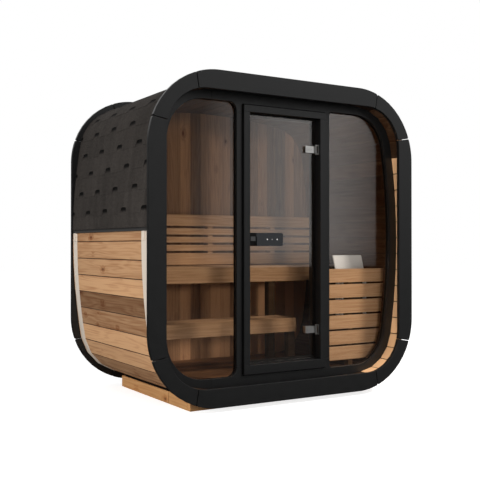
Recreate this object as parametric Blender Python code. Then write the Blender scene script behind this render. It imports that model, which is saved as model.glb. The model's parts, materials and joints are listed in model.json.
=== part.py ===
"""Outdoor sauna cabin: a barrel of timber staves with a rounded-square section, closed by two recessed end
walls, trimmed at both ends with a frame of painted boards, roofed with shingles and set on a low base.

Metres, +Z up. The front (door) faces -Y and the origin is at the middle of the ground under the cabin.
"""

import math

import bmesh
import bpy
from mathutils import Matrix

# Clearances, and how far joined solids overlap and cutters run past what they cut
SEAT = 0.0003
JOINT_GAP = 0.0045
BITE = 0.010
CUT_PAST = 0.050

# Overall form: a stave barrel whose flat sides bulge a little, between two end trims
DEPTH = 1.442
GROUND_GAP = 0.033
BARREL_HALF = 1.108
SIDE_RADIUS = 4.45
CORNER_RADIUS = 0.37
WALL = 0.050
STAVES = 62
STAVE_PHASE = -0.016
GROOVE_WIDTH = 0.005
GROOVE_DEPTH = 0.003

# End trim, eight painted boards in a rounded square that stands a little outside the barrel
TRIM_SIDE_MARGIN = 0.010
TRIM_END_MARGIN = 0.017
TRIM_BOARD = 0.130
TRIM_THICKNESS = 0.028
TRIM_CORNER_RADIUS = 0.522
TRIM_INNER_RADIUS = 0.305
TRIM_NOTCH = 0.009
TRIM_CUT_OUTER = 70.2
TRIM_CUT_INNER = 76.5
TRIM_ARC_STEPS = 7
TRIM_WIDTH = 2 * (BARREL_HALF + TRIM_SIDE_MARGIN)
TRIM_HEIGHT = 2 * (BARREL_HALF + TRIM_END_MARGIN)
RING_REAR = DEPTH - TRIM_THICKNESS

# Heights that follow from the barrel
MID_Z = GROUND_GAP + TRIM_HEIGHT / 2
INNER_HALF = BARREL_HALF - WALL
INNER_BOTTOM = MID_Z - INNER_HALF
INNER_TOP = MID_Z + INNER_HALF

# Roofing
ROOF_EDGE_RISE = 0.074
ROOF_EDGE_HEIGHT = MID_Z + ROOF_EDGE_RISE
FIRST_COURSE = 0.096
COURSE = 0.148
SHINGLE_THICK = 0.009
SHINGLE_THIN = 0.004
ROOF_CLEAR = 0.0006
DRIP_HEIGHT = 0.024
DRIP_THICKNESS = 0.002
DRIP_KICK = 0.013

# Tension straps
STRAP_INSET = 0.017
STRAP_WIDTH = 0.080
STRAP_THICKNESS = 0.0016
STRAP_END_GAP = 0.001
BUCKLE_HEIGHT = 0.060
BUCKLE_THICKNESS = 0.008

# Base
BASE_HALF_WIDTH = 0.745
BASE_FRONT = 0.142
CRADLE_BITE = 0.035
BASE_HEIGHT = MID_Z - BARREL_HALF + CRADLE_BITE
BASE_RAIL = 0.045
BASE_JOINT = 0.470
BASE_JOINT_WIDTH = 0.003

# Door frame, in the middle of the front wall
WALL_RECESS = 0.110
FRAME_HALF_WIDTH = 0.352
SILL_RISE = 0.112
HEAD_DROP = 0.128
FRAME_BOTTOM = INNER_BOTTOM + SILL_RISE
FRAME_TOP = INNER_TOP - HEAD_DROP
FRAME_PROUD = 0.020
FRAME_DEPTH = 0.113
FRAME_FACE = 0.048
SILL_FACE = 0.071
SHADOW_GAP = 0.0067
SHADOW_DEPTH = 0.030
STOP_LIP = 0.022
STOP_THICKNESS = 0.042

# Front wall and its two windows
WALL_FRAME = 0.045
WINDOW_BAND = 0.070
TOP_RAIL = 0.113
BOTTOM_RAIL = 0.110
WINDOW_TOP = INNER_TOP - TOP_RAIL
WINDOW_BOTTOM = INNER_BOTTOM + BOTTOM_RAIL
WINDOW_CORNER = 0.280
WINDOW_STEPS = 12
MULLION = 0.0423
MULLION_OUTER = FRAME_HALF_WIDTH + SHADOW_GAP + MULLION
LEFT_WINDOW_RADIUS = 0.060
RIGHT_WINDOW_RADIUS = 0.022
PANE_RECESS = 0.024
PANE_THICKNESS = 0.008
PANE_BITE = 0.012
PANE_FIT = 0.0008
RAIL_RUN = 0.199
RAIL_SPLIT = MULLION_OUTER + RAIL_RUN
RAIL_REACH = 0.070

# Door leaf
LEAF_THICKNESS = 0.008
LEAF_GAP = 0.006
LEAF_TO_STOP = 0.008
LEAF_BOTTOM = FRAME_BOTTOM + SILL_FACE + LEAF_GAP
LEAF_TOP = FRAME_TOP - FRAME_FACE - LEAF_GAP

# Hinges
LOWER_HINGE_RISE = 0.2085
UPPER_HINGE_DROP = 0.218
HINGE_HEIGHTS = (LEAF_BOTTOM + LOWER_HINGE_RISE, LEAF_TOP - UPPER_HINGE_DROP)
HINGE_HEIGHT = 0.073
HINGE_PLATE_THICKNESS = 0.004
HINGE_PLATE_WIDTH = 0.034
KNUCKLE_RADIUS = 0.0072
KNUCKLE_HEIGHT = 0.0108
KNUCKLE_GAP = 0.0006
PIN_FROM_PLATE = 0.0120
PIN_FROM_LEAF = 0.019
CLAMP_LENGTH = 0.088
CLAMP_HEIGHT = 0.050
CLAMP_FRONT = 0.014
CLAMP_REAR = 0.008
CLAMP_CORE = 0.028
CLAMP_REAR_SETBACK = 0.018

# Handle
HANDLE_LENGTH = 0.277
HANDLE_END_GAP = 0.014
HANDLE_HEIGHT = 0.093
HANDLE_RISE = 0.8665
HANDLE_MIDDLE = LEAF_BOTTOM + HANDLE_RISE
HANDLE_THICKNESS = 0.022
HANDLE_CORNER = 0.012
LATCH_LENGTH = 0.056
LATCH_RECESS = 0.013
LATCH_NOTCH_HEIGHT = 0.067
LATCH_INSET = 0.006
LATCH_SETBACK = 0.003
LATCH_RISE = 0.035
LATCH_BLOCK_LENGTH = 0.0384
LATCH_BLOCK_HEIGHT = 0.032
STUD_RADIUS = 0.006
STUD_HOLE = 0.007
STUD_BITE = 0.004
STUD_SPACING = 0.078
STUD_OFFSET = 0.035

# Rear wall and floor
REAR_RECESS = 0.120
REAR_THICKNESS = 0.042
FLOOR_RISE = 0.068
FLOOR_TOP = INNER_BOTTOM + FLOOR_RISE
FLOOR_THICKNESS = 0.028

# Backrest
BACKREST_DEPTH = 0.090
BACKREST_FACE = DEPTH - REAR_RECESS - REAR_THICKNESS - BACKREST_DEPTH
BACKREST_RISE = 0.007
BACKREST_BOARDS = (0.095, 0.049, 0.047, 0.052, 0.093)
BACKREST_GAP = 0.018
BACKREST_BOARD = 0.022
BACKREST_INSET = 0.018
BACKREST_HALF = INNER_HALF - BACKREST_INSET
BATTEN = 0.045
BATTENS = 3
BATTEN_SPACING = 0.620

# Benches, seen from the door
UPPER_RISE = 0.781
UPPER_TOP = FLOOR_TOP + UPPER_RISE
UPPER_FRONT = 0.750
UPPER_FASCIA = 0.124
UPPER_BEARERS = 4
UPPER_BEARER_INSET = 0.208
LOWER_RISE = 0.385
LOWER_TOP = FLOOR_TOP + LOWER_RISE
LOWER_FRONT = 0.470
LOWER_FASCIA = 0.105
LOWER_END = FRAME_HALF_WIDTH
LOWER_BEARERS = 3
LOWER_BEARER_INSET = 0.308
BOARD = 0.028
SLAT_WIDTH = 0.088
SLAT_GAP = 0.012
BEARER = 0.045
LEG = 0.060

# Heater and its guard rail
HEATER_INSET = 0.133
HEATER_RIGHT = INNER_HALF - HEATER_INSET
HEATER_WIDTH = 0.285
HEATER_LEFT = HEATER_RIGHT - HEATER_WIDTH
HEATER_FRONT = 0.330
HEATER_BACK = 0.600
HEATER_RISE = 0.312
HEATER_BOTTOM = FLOOR_TOP + HEATER_RISE
HEATER_HEIGHT = 0.420
HEATER_PANEL = 0.136
HEATER_PANEL_LEAN = 0.045
HEATER_SHEET = 0.012
HEATER_BRACKET = 0.040
GUARD_FACE = 0.250
GUARD_TO_HEATER = 0.190
GUARD_LEFT = HEATER_LEFT - GUARD_TO_HEATER
GUARD_RISE = 0.065
GUARD_BOTTOM = FLOOR_TOP + GUARD_RISE
GUARD_BOARD = 0.105
GUARD_GAP = 0.014
GUARD_BOARDS = 6
GUARD_THICKNESS = 0.022
GUARD_POST = 0.040
GUARD_POST_INSET = 0.020
GUARD_POST_SPACING = 0.230

MATERIALS = {}


def deep(distance):
    """Y of a plane this far behind the front face of the front trim."""
    return distance - DEPTH / 2


def clear_scene():
    for obj in list(bpy.data.objects):
        bpy.data.objects.remove(obj, do_unlink=True)


def collection(name):
    made = bpy.data.collections.new(name)
    bpy.context.scene.collection.children.link(made)
    return made


def material(name, colour, roughness, metallic=0.0, alpha=1.0):
    made = bpy.data.materials.new(name)
    made.use_nodes = True
    shader = made.node_tree.nodes["Principled BSDF"]
    shader.inputs["Base Color"].default_value = (*colour, 1.0)
    shader.inputs["Roughness"].default_value = roughness
    shader.inputs["Metallic"].default_value = metallic
    shader.inputs["Alpha"].default_value = alpha
    MATERIALS[name] = made


def make_materials():
    material("painted_black_wood", (0.016, 0.017, 0.018), 0.6)
    material("natural_spruce", (0.52, 0.30, 0.15), 0.65)
    material("interior_wood", (0.42, 0.22, 0.10), 0.6)
    material("bitumen_shingle", (0.045, 0.040, 0.036), 0.95)
    material("drip_edge_metal", (0.02, 0.018, 0.016), 0.5)
    material("strap_steel", (0.72, 0.66, 0.58), 0.35, 1.0)
    material("stainless", (0.62, 0.62, 0.60), 0.3, 1.0)
    material("bronze_glass", (0.12, 0.09, 0.07), 0.05, 0.0, 0.5)
    material("black_plastic", (0.02, 0.02, 0.02), 0.5)


def finish(obj, home, material_name):
    home.objects.link(obj)
    obj.data.materials.append(MATERIALS[material_name])
    return obj


def outline_curve(name, points, thickness):
    """A flat filled outline of this thickness, centred on its own XY plane."""
    curve = bpy.data.curves.new(name, "CURVE")
    curve.dimensions = "2D"
    curve.fill_mode = "BOTH"
    curve.extrude = thickness / 2
    spline = curve.splines.new("POLY")
    spline.points.add(len(points) - 1)
    for slot, (x, y) in zip(spline.points, points):
        slot.co = (x, y, 0.0, 1.0)
    spline.use_cyclic_u = True
    return curve


def solid_mesh(curve, matrix):
    """The curve's solid as a closed mesh in world coordinates."""
    holder = bpy.data.objects.new("outline", curve)
    bpy.context.scene.collection.objects.link(holder)
    holder.matrix_world = matrix
    bpy.context.view_layer.update()
    graph = bpy.context.evaluated_depsgraph_get()
    mesh = bpy.data.meshes.new_from_object(holder.evaluated_get(graph))
    mesh.transform(matrix)
    bpy.data.objects.remove(holder)
    bpy.data.curves.remove(curve)
    shape = bmesh.new()
    shape.from_mesh(mesh)
    bmesh.ops.remove_doubles(shape, verts=shape.verts, dist=0.00002)
    bmesh.ops.recalc_face_normals(shape, faces=shape.faces)
    shape.to_mesh(mesh)
    shape.free()
    return mesh


def across(points, front, back):
    """Mesh of an outline in X and Z that runs from front to back, both measured from the front face."""
    middle = (deep(front) + deep(back)) / 2
    turn = Matrix.Translation((0.0, middle, 0.0)) @ Matrix.Rotation(math.radians(90), 4, "X")
    return solid_mesh(outline_curve("across", points, back - front), turn)


def along_x(points, low, high):
    """Mesh of an outline in Y (from the front face) and Z that runs from X low to X high."""
    middle = (low + high) / 2
    placed = [(deep(y), z) for y, z in points]
    turn = Matrix(((0, 0, 1, middle), (1, 0, 0, 0), (0, 1, 0, 0), (0, 0, 0, 1)))
    return solid_mesh(outline_curve("along_x", placed, high - low), turn)


def upright(points, low, high):
    """Mesh of an outline in X and Y (from the front face) that runs from Z low to Z high."""
    placed = [(x, deep(y)) for x, y in points]
    turn = Matrix.Translation((0.0, 0.0, (low + high) / 2))
    return solid_mesh(outline_curve("upright", placed, high - low), turn)


def block(x, y, z):
    """Mesh of a box from ranges; y is measured from the front face."""
    shape = bmesh.new()
    size = (x[1] - x[0], y[1] - y[0], z[1] - z[0])
    middle = ((x[0] + x[1]) / 2, deep((y[0] + y[1]) / 2), (z[0] + z[1]) / 2)
    scale = Matrix.Diagonal((*size, 1.0))
    bmesh.ops.create_cube(shape, size=1.0, matrix=Matrix.Translation(middle) @ scale)
    mesh = bpy.data.meshes.new("block")
    shape.to_mesh(mesh)
    shape.free()
    return mesh


def rod(x, y, z, radius, axis, steps=16):
    """Mesh of a cylinder along Z or Y; y is measured from the front face."""
    shape = bmesh.new()
    if axis == "Z":
        length = z[1] - z[0]
        place = Matrix.Translation((x, deep(y), (z[0] + z[1]) / 2))
    else:
        length = y[1] - y[0]
        place = Matrix.Translation((x, deep((y[0] + y[1]) / 2), z)) @ Matrix.Rotation(math.radians(90), 4, "X")
    bmesh.ops.create_cone(
        shape, cap_ends=True, segments=steps, radius1=radius, radius2=radius, depth=length, matrix=place
    )
    mesh = bpy.data.meshes.new("rod")
    shape.to_mesh(mesh)
    shape.free()
    return mesh


class Piece:
    """One named solid, built from a first mesh with joins and cuts made by Boolean modifiers."""

    def __init__(self, name, mesh, material_name, home, helpers):
        self.obj = bpy.data.objects.new(name, mesh)
        mesh.name = name
        finish(self.obj, home, material_name)
        self.helpers = helpers

    def _boolean(self, mesh, operation):
        helper = bpy.data.objects.new(f"{self.obj.name}_{operation.lower()}", mesh)
        self.helpers.objects.link(helper)
        helper.hide_render = True
        helper.display_type = "WIRE"
        modifier = self.obj.modifiers.new(operation.title(), "BOOLEAN")
        modifier.operation = operation
        modifier.solver = "EXACT"
        modifier.object = helper
        return self

    def join(self, mesh):
        return self._boolean(mesh, "UNION")

    def cut(self, mesh):
        return self._boolean(mesh, "DIFFERENCE")


# Outlines


def arc(centre, radius, start, end, steps):
    """Points on an arc, angles in degrees."""
    points = []
    for step in range(steps + 1):
        angle = math.radians(start + (end - start) * step / steps)
        points.append((centre[0] + radius * math.cos(angle), centre[1] + radius * math.sin(angle)))
    return points


def clip(points, axis, limit, keep_above):
    """The part of an outline on one side of a straight line along an axis."""
    side = 1.0 if keep_above else -1.0
    kept = []
    for here, there in zip(points, points[1:] + points[:1]):
        a = side * (here[axis] - limit)
        b = side * (there[axis] - limit)
        if a >= 0:
            kept.append(here)
        if a * b < 0:
            share = a / (a - b)
            kept.append(tuple(p + (q - p) * share for p, q in zip(here, there)))
    return kept


def window_of(points, x=None, z=None):
    """The part of an outline inside ranges of X and of Z."""
    for axis, limits in ((0, x), (1, z)):
        if limits:
            points = clip(points, axis, limits[0], True)
            points = clip(points, axis, limits[1], False)
    return points


def filleted(points, near, radius, steps=5):
    """The outline with the corner closest to a point rounded."""
    index = min(range(len(points)), key=lambda i: math.dist(points[i], near))
    corner = points[index]
    before = points[index - 1]
    after = points[(index + 1) % len(points)]
    to_before = [(p - c) / math.dist(before, corner) for p, c in zip(before, corner)]
    to_after = [(p - c) / math.dist(after, corner) for p, c in zip(after, corner)]
    cosine = sum(p * q for p, q in zip(to_before, to_after))
    half = math.acos(max(-1.0, min(1.0, cosine))) / 2
    reach = radius / math.tan(half)
    middle = [p + q for p, q in zip(to_before, to_after)]
    length = math.hypot(*middle)
    centre = [c + m / length * radius / math.sin(half) for c, m in zip(corner, middle)]
    first = [c + p * reach for c, p in zip(corner, to_before)]
    last = [c + p * reach for c, p in zip(corner, to_after)]
    start = math.atan2(first[1] - centre[1], first[0] - centre[0])
    sweep = math.atan2(last[1] - centre[1], last[0] - centre[0]) - start
    sweep = (sweep + math.pi) % (2 * math.pi) - math.pi
    rounded = arc(centre, radius, math.degrees(start), math.degrees(start + sweep), steps)
    return points[:index] + rounded + points[index + 1 :]


def barrel_form():
    """Where the side arcs meet the corner arcs: (corner centre, tangent angle in radians, quarter lengths)."""
    lean = BARREL_HALF - SIDE_RADIUS
    reach = SIDE_RADIUS - CORNER_RADIUS
    centre = (lean + math.sqrt(2 * reach**2 - lean**2)) / 2
    angle = math.atan2(centre, centre - lean)
    side = SIDE_RADIUS * angle
    corner = CORNER_RADIUS * (math.pi / 2 - 2 * angle)
    return centre, angle, side, corner


def barrel_point(travel):
    """Point of the barrel's outer curve, this far clockwise from the middle of the left side."""
    centre, angle, side, corner = barrel_form()
    quarter = 2 * side + corner
    quarters, rest = divmod(travel + side, quarter)
    rest -= side
    lean = BARREL_HALF - SIDE_RADIUS
    if rest <= side:
        turned = rest / SIDE_RADIUS
        x = lean + SIDE_RADIUS * math.cos(turned)
        y = SIDE_RADIUS * math.sin(turned)
    else:
        turned = angle + (rest - side) / CORNER_RADIUS
        x = centre + CORNER_RADIUS * math.cos(turned)
        y = centre + CORNER_RADIUS * math.sin(turned)
    turns = int(quarters) % 4
    for _ in range(turns):
        x, y = -y, x
    return (-x, MID_Z + y)


def barrel_girth():
    _, _, side, corner = barrel_form()
    return 4 * (2 * side + corner)


def stave_joint(index):
    return barrel_point(STAVE_PHASE + barrel_girth() * index / STAVES)


def offset_corner(index, distance):
    """The stave joint moved out (or, below zero, in) so that flat faces stay parallel."""
    here = stave_joint(index)
    normals = []
    for other in (index - 1, index + 1):
        there = stave_joint(other)
        run = (there[0] - here[0], there[1] - here[1])
        if other < index:
            run = (-run[0], -run[1])
        length = math.hypot(*run)
        normals.append((-run[1] / length, run[0] / length))
    total = (normals[0][0] + normals[1][0], normals[0][1] + normals[1][1])
    share = distance * 2 / (total[0] ** 2 + total[1] ** 2)
    return (here[0] + total[0] * share, here[1] + total[1] * share)


def barrel_loop(distance):
    """Closed outline parallel to the staves' outer faces."""
    return [offset_corner(index, distance) for index in range(STAVES)]


def inner_loop():
    return barrel_loop(-WALL - SEAT)


def between(start, end, distance, last_distance=None):
    """Points parallel to the outer faces from one travel to another, with every stave corner on the way.

    Their distance from the faces stays the same, or changes evenly to a last distance.
    """
    pitch = barrel_girth() / STAVES
    low, high = sorted(((start - STAVE_PHASE) / pitch, (end - STAVE_PHASE) / pitch))
    stops = [low] + list(range(math.floor(low) + 1, math.ceil(high))) + [high]
    if start > end:
        stops.reverse()
    change = 0.0 if last_distance is None else last_distance - distance
    run = stops[-1] - stops[0]
    return [along_faces(stop, distance + change * (stop - stops[0]) / run) for stop in stops]


def along_faces(stop, distance):
    """A point on the faces at a stop counted in staves."""
    low = math.floor(stop)
    share = stop - low
    a = offset_corner(low, distance)
    if share < 1e-9:
        return a
    b = offset_corner(low + 1, distance)
    return (a[0] + (b[0] - a[0]) * share, a[1] + (b[1] - a[1]) * share)


# Pieces


def stave_segment(first, last):
    """Outline of the staves from joint first to joint last, grooved at each joint inside and out."""
    half_groove = GROOVE_WIDTH / 2 * STAVES / barrel_girth()
    gap = SEAT / 2 * STAVES / barrel_girth()
    outer = []
    inner = []
    for index in range(first, last + 1):
        stops = [index - half_groove, index, index + half_groove]
        depths = [0.0, GROOVE_DEPTH, 0.0]
        if index == first:
            stops = [index + gap, index + half_groove]
            depths = [GROOVE_DEPTH, 0.0]
        if index == last:
            stops = [index - half_groove, index - gap]
            depths = [0.0, GROOVE_DEPTH]
        outer += [along_faces(stop, -depth) for stop, depth in zip(stops, depths)]
        inner += [along_faces(stop, depth - WALL) for stop, depth in zip(stops, depths)]
    return outer + inner[::-1]


def make_barrel(home, helpers):
    side, corner = barrel_form()[2:]
    quarter = 2 * side + corner
    pitch = barrel_girth() / STAVES

    def nearest(travel):
        return round((travel - STAVE_PHASE) / pitch)

    spans = {
        "shell_left": (nearest(-side - corner), nearest(side)),
        "shell_top": (nearest(side), nearest(2 * quarter - side - corner)),
        "shell_right": (nearest(2 * quarter - side - corner), nearest(2 * quarter + side)),
        "shell_bottom": (nearest(2 * quarter + side), nearest(-side - corner) + STAVES),
    }
    for name, (first, last) in spans.items():
        mesh = across(stave_segment(first, last), TRIM_THICKNESS + SEAT, RING_REAR - SEAT)
        Piece(name, mesh, "natural_spruce", home, helpers)


def trim_arc(start, end, inner):
    """Part of the trim's outer or inner edge in its upper right corner, from the cabin's middle."""
    margin = TRIM_BOARD if inner else 0.0
    radius = TRIM_INNER_RADIUS if inner else TRIM_CORNER_RADIUS
    centre = (TRIM_WIDTH / 2 - margin - radius, TRIM_HEIGHT / 2 - margin - radius)
    return arc(centre, radius, start, end, TRIM_ARC_STEPS)


def joint_half(inner):
    """Half of the open joint between two boards, in degrees at one edge."""
    return math.degrees(JOINT_GAP / 2 / (TRIM_INNER_RADIUS if inner else TRIM_CORNER_RADIUS))


def softened(points, corners):
    for corner in corners:
        points = filleted(points, corner, TRIM_NOTCH, 3)
    return points


def corner_board():
    """The upper right corner board: between the two cuts, less half the gap at each."""
    edges = []
    for cut, inner in ((TRIM_CUT_OUTER, False), (TRIM_CUT_INNER, True)):
        edges.append(trim_arc(90 - cut + joint_half(inner), cut - joint_half(inner), inner))
    return softened(edges[0] + edges[1][::-1], (edges[0][0], edges[0][-1]))


def long_board():
    """The top board: straight, with both ends following the corner as far as the cut."""
    outer = trim_arc(TRIM_CUT_OUTER + joint_half(False), 90, False)
    inner = trim_arc(TRIM_CUT_INNER + joint_half(True), 90, True)
    mirrored_outer = [(-x, z) for x, z in reversed(outer)]
    mirrored_inner = [(-x, z) for x, z in reversed(inner)]
    whole = outer + mirrored_outer + mirrored_inner[::-1] + inner[::-1]
    return softened(whole, (outer[0], mirrored_outer[-1]))


def side_board():
    """The right board, made like the top one with the axes swapped."""
    outer = trim_arc(0, 90 - TRIM_CUT_OUTER - joint_half(False), False)
    inner = trim_arc(0, 90 - TRIM_CUT_INNER - joint_half(True), True)
    lower_outer = [(x, -z) for x, z in reversed(outer)]
    lower_inner = [(x, -z) for x, z in reversed(inner)]
    whole = lower_outer + outer + inner[::-1] + lower_inner[::-1]
    return softened(whole, (outer[-1], lower_outer[0]))


def make_trim(end, front, home, helpers):
    boards = {
        "top": (long_board(), 1, 1),
        "bottom": (long_board(), 1, -1),
        "right": (side_board(), 1, 1),
        "left": (side_board(), -1, 1),
        "top_right": (corner_board(), 1, 1),
        "top_left": (corner_board(), -1, 1),
        "bottom_right": (corner_board(), 1, -1),
        "bottom_left": (corner_board(), -1, -1),
    }
    for name, (points, mirror_x, mirror_z) in boards.items():
        placed = [(mirror_x * x, MID_Z + mirror_z * z) for x, z in points]
        mesh = across(placed, front, front + TRIM_THICKNESS)
        Piece(f"{end}_trim_{name}", mesh, "painted_black_wood", home, helpers)


def travel_at(height):
    """Travel from the middle of the left side to this height on it."""
    return SIDE_RADIUS * math.asin((height - MID_Z) / SIDE_RADIUS)


def roof_outline():
    """Shingle courses laid up both sides, each thick at its lower edge and thin under the next."""
    ridge = barrel_girth() / 4
    start = travel_at(ROOF_EDGE_HEIGHT)
    courses = round((ridge - start - FIRST_COURSE) / COURSE)
    step = (ridge - start - FIRST_COURSE) / courses
    edges = [start] + [start + FIRST_COURSE + course * step for course in range(courses + 1)]
    thick = ROOF_CLEAR + SHINGLE_THICK
    thin = ROOF_CLEAR + SHINGLE_THIN
    outer = []
    for low, high in zip(edges, edges[1:]):
        outer += between(low, high, thick, thin)
    for low, high in zip(edges[-2::-1], edges[:0:-1]):
        outer += between(2 * ridge - high, 2 * ridge - low, thin, thick)
    return outer + between(start, 2 * ridge - start, ROOF_CLEAR)[::-1]


def make_roofing(home, helpers):
    mesh = across(roof_outline(), TRIM_THICKNESS + SEAT, RING_REAR - SEAT)
    Piece("shingle_roofing", mesh, "bitumen_shingle", home, helpers)


def make_drip_edges(home, helpers):
    """An angle of sheet metal under the lowest course on each side, its foot kicked outwards."""
    pitch = barrel_girth() / STAVES
    left_top = travel_at(ROOF_EDGE_HEIGHT) - SEAT
    for name, top, down in (("left", left_top, -1), ("right", barrel_girth() / 2 - left_top, 1)):
        low = top + down * DRIP_HEIGHT
        back = between(low, top, SEAT)
        face = between(top, low - down * DRIP_THICKNESS, SEAT + DRIP_THICKNESS)
        toe_top = along_faces((low - down * DRIP_THICKNESS - STAVE_PHASE) / pitch, DRIP_KICK)
        toe = along_faces((low - STAVE_PHASE) / pitch, DRIP_KICK)
        mesh = across(back + face + [toe_top, toe], TRIM_THICKNESS + SEAT, RING_REAR - SEAT)
        Piece(f"{name}_drip_edge", mesh, "drip_edge_metal", home, helpers)


def make_straps(home, helpers):
    """Steel bands that pull the staves together, from roof edge to roof edge under the barrel."""
    edge = travel_at(ROOF_EDGE_HEIGHT) - DRIP_HEIGHT - STRAP_END_GAP
    start = -barrel_girth() / 2 - edge
    outer = between(start, edge, SEAT + STRAP_THICKNESS)
    inner = between(start, edge, SEAT)
    inset = TRIM_THICKNESS + STRAP_INSET
    for name, front in (("front_strap", inset), ("rear_strap", DEPTH - inset - STRAP_WIDTH)):
        mesh = across(outer + inner[::-1], front, front + STRAP_WIDTH)
        strap = Piece(name, mesh, "strap_steel", home, helpers)
        buckle = between(edge - BUCKLE_HEIGHT, edge, SEAT + STRAP_THICKNESS + BUCKLE_THICKNESS)
        buckle += between(edge - BUCKLE_HEIGHT, edge, SEAT + STRAP_THICKNESS / 2)[::-1]
        strap.join(across(buckle, front + STRAP_WIDTH / 4, front + STRAP_WIDTH * 3 / 4))


def make_base(home, helpers):
    """Two cradles cut to the barrel and two side rails between them."""
    rear = DEPTH - BASE_FRONT
    under = barrel_loop(SEAT)
    bottom = window_of(under, x=(-BASE_HALF_WIDTH, BASE_HALF_WIDTH), z=(0.0, BASE_HEIGHT))
    saddle = [p for p in sorted(bottom) if p[1] < BASE_HEIGHT - 1e-6]
    left = min(bottom, key=lambda p: p[0])
    right = max(bottom, key=lambda p: p[0])
    top = [(-BASE_HALF_WIDTH, BASE_HEIGHT), (left[0], BASE_HEIGHT)] + saddle
    top += [(right[0], BASE_HEIGHT), (BASE_HALF_WIDTH, BASE_HEIGHT)]
    cradle = [(-BASE_HALF_WIDTH, 0.0)] + top + [(BASE_HALF_WIDTH, 0.0)]
    for name, front in (("front_cradle", BASE_FRONT), ("rear_cradle", rear - BASE_RAIL)):
        Piece(name, across(cradle, front, front + BASE_RAIL), "natural_spruce", home, helpers)
    for name, side in (("left", -1), ("right", 1)):
        x = sorted((side * BASE_HALF_WIDTH, side * (BASE_HALF_WIDTH - BASE_RAIL)))
        y = (BASE_FRONT + BASE_RAIL + SEAT, rear - BASE_RAIL - SEAT)
        rail = Piece(f"{name}_base_rail", block(x, y, (0.0, BASE_HEIGHT)), "natural_spruce", home, helpers)
        face = side * BASE_HALF_WIDTH
        rail.cut(
            block(
                sorted((face - side * BASE_JOINT_WIDTH, face + side * BASE_JOINT_WIDTH)),
                (BASE_JOINT, BASE_JOINT + BASE_JOINT_WIDTH),
                (-0.01, BASE_HEIGHT + 0.01),
            )
        )


def window_outline(side, grow):
    """One window's opening, or with grow the outline of the glass in its groove.

    Its outer edge follows the barrel's side and turns into the straight top and bottom on large rounds.
    """
    low = WINDOW_BOTTOM - grow
    high = WINDOW_TOP + grow
    edge = MULLION_OUTER - grow
    lean = BARREL_HALF - SIDE_RADIUS
    bow = SIDE_RADIUS - WALL - WINDOW_BAND + grow
    corner = WINDOW_CORNER + grow
    outer = []
    ends = []
    for height, straight in ((low + corner, -90), (high - corner, 90)):
        run = math.sqrt((bow - corner) ** 2 - (height - MID_Z) ** 2)
        tangent = math.degrees(math.atan2(height - MID_Z, run))
        turn = arc((lean + run, height), corner, straight, tangent, WINDOW_STEPS)
        outer.append(turn if straight < 0 else turn[::-1])
        ends.append(tangent)
    rising = arc((lean, MID_Z), bow, *ends, WINDOW_STEPS)[1:-1]
    points = [(edge, low)] + outer[0] + rising + outer[1] + [(edge, high)]
    points = [(side * x, z) for x, z in points]
    for z in (low, high):
        points = filleted(points, (side * edge, z), (LEFT_WINDOW_RADIUS if side < 0 else RIGHT_WINDOW_RADIUS) + grow)
    return points


def door_hole():
    edge = FRAME_HALF_WIDTH + SHADOW_GAP
    depth = (WALL_RECESS - CUT_PAST, WALL_RECESS + WALL_FRAME + CUT_PAST)
    return block((-edge, edge), depth, (FRAME_BOTTOM - SEAT, FRAME_TOP + SHADOW_GAP))


def make_front_wall(home, helpers):
    front = WALL_RECESS
    back = WALL_RECESS + WALL_FRAME
    loop = inner_loop()
    split_top = WINDOW_TOP - RAIL_REACH
    split_bottom = WINDOW_BOTTOM + RAIL_REACH
    half = SEAT / 2
    inside = (-RAIL_SPLIT + half, RAIL_SPLIT - half)
    pieces = {
        "front_wall_top": window_of(loop, x=inside, z=(split_top + half, 2 * MID_Z)),
        "front_wall_bottom": window_of(loop, x=inside, z=(0.0, split_bottom - half)),
        "front_wall_left": clip(loop, 0, -RAIL_SPLIT - half, False),
        "front_wall_right": clip(loop, 0, RAIL_SPLIT + half, True),
    }
    groove = (front + PANE_RECESS, front + PANE_RECESS + PANE_THICKNESS + 2 * SEAT)
    for name, points in pieces.items():
        piece = Piece(name, across(points, front, back), "painted_black_wood", home, helpers)
        for side in (-1, 1):
            if name.endswith(("left", "right")) and (side < 0) != name.endswith("left"):
                continue
            piece.cut(across(window_outline(side, 0.0), front - CUT_PAST, back + CUT_PAST))
            piece.cut(across(window_outline(side, PANE_BITE), *groove))
        if name in ("front_wall_top", "front_wall_bottom"):
            piece.cut(door_hole())
    upright_z = (split_bottom + half, split_top - half)
    for name, side in (("left_mullion", -1), ("right_mullion", 1)):
        x = sorted((side * (FRAME_HALF_WIDTH + SHADOW_GAP), side * MULLION_OUTER))
        mullion = Piece(name, block(x, (front, back), upright_z), "painted_black_wood", home, helpers)
        edge = side * MULLION_OUTER
        mullion.cut(block(sorted((edge - side * PANE_BITE, edge + side * CUT_PAST)), groove, (0.0, 2 * MID_Z)))


def make_windows(home, helpers):
    front = WALL_RECESS + PANE_RECESS + SEAT
    for name, side in (("left_window_glass", -1), ("right_window_glass", 1)):
        points = window_outline(side, PANE_BITE - PANE_FIT)
        Piece(name, across(points, front, front + PANE_THICKNESS), "bronze_glass", home, helpers)


def frame_back():
    return WALL_RECESS - FRAME_PROUD + FRAME_DEPTH


def frame_stop():
    return frame_back() - STOP_THICKNESS


def frame_section(outer, direction, face):
    """Section of one door frame member: (across, deep) pairs, outer edge first."""
    front = WALL_RECESS - FRAME_PROUD
    back = frame_back()
    inner = outer + direction * face
    seat = outer - direction * (SHADOW_GAP - SEAT)
    lip = inner + direction * STOP_LIP
    return [
        (outer, front),
        (outer, front + SHADOW_DEPTH),
        (seat, front + SHADOW_DEPTH),
        (seat, back),
        (lip, back),
        (lip, frame_stop()),
        (inner, frame_stop()),
        (inner, front),
    ]


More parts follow.
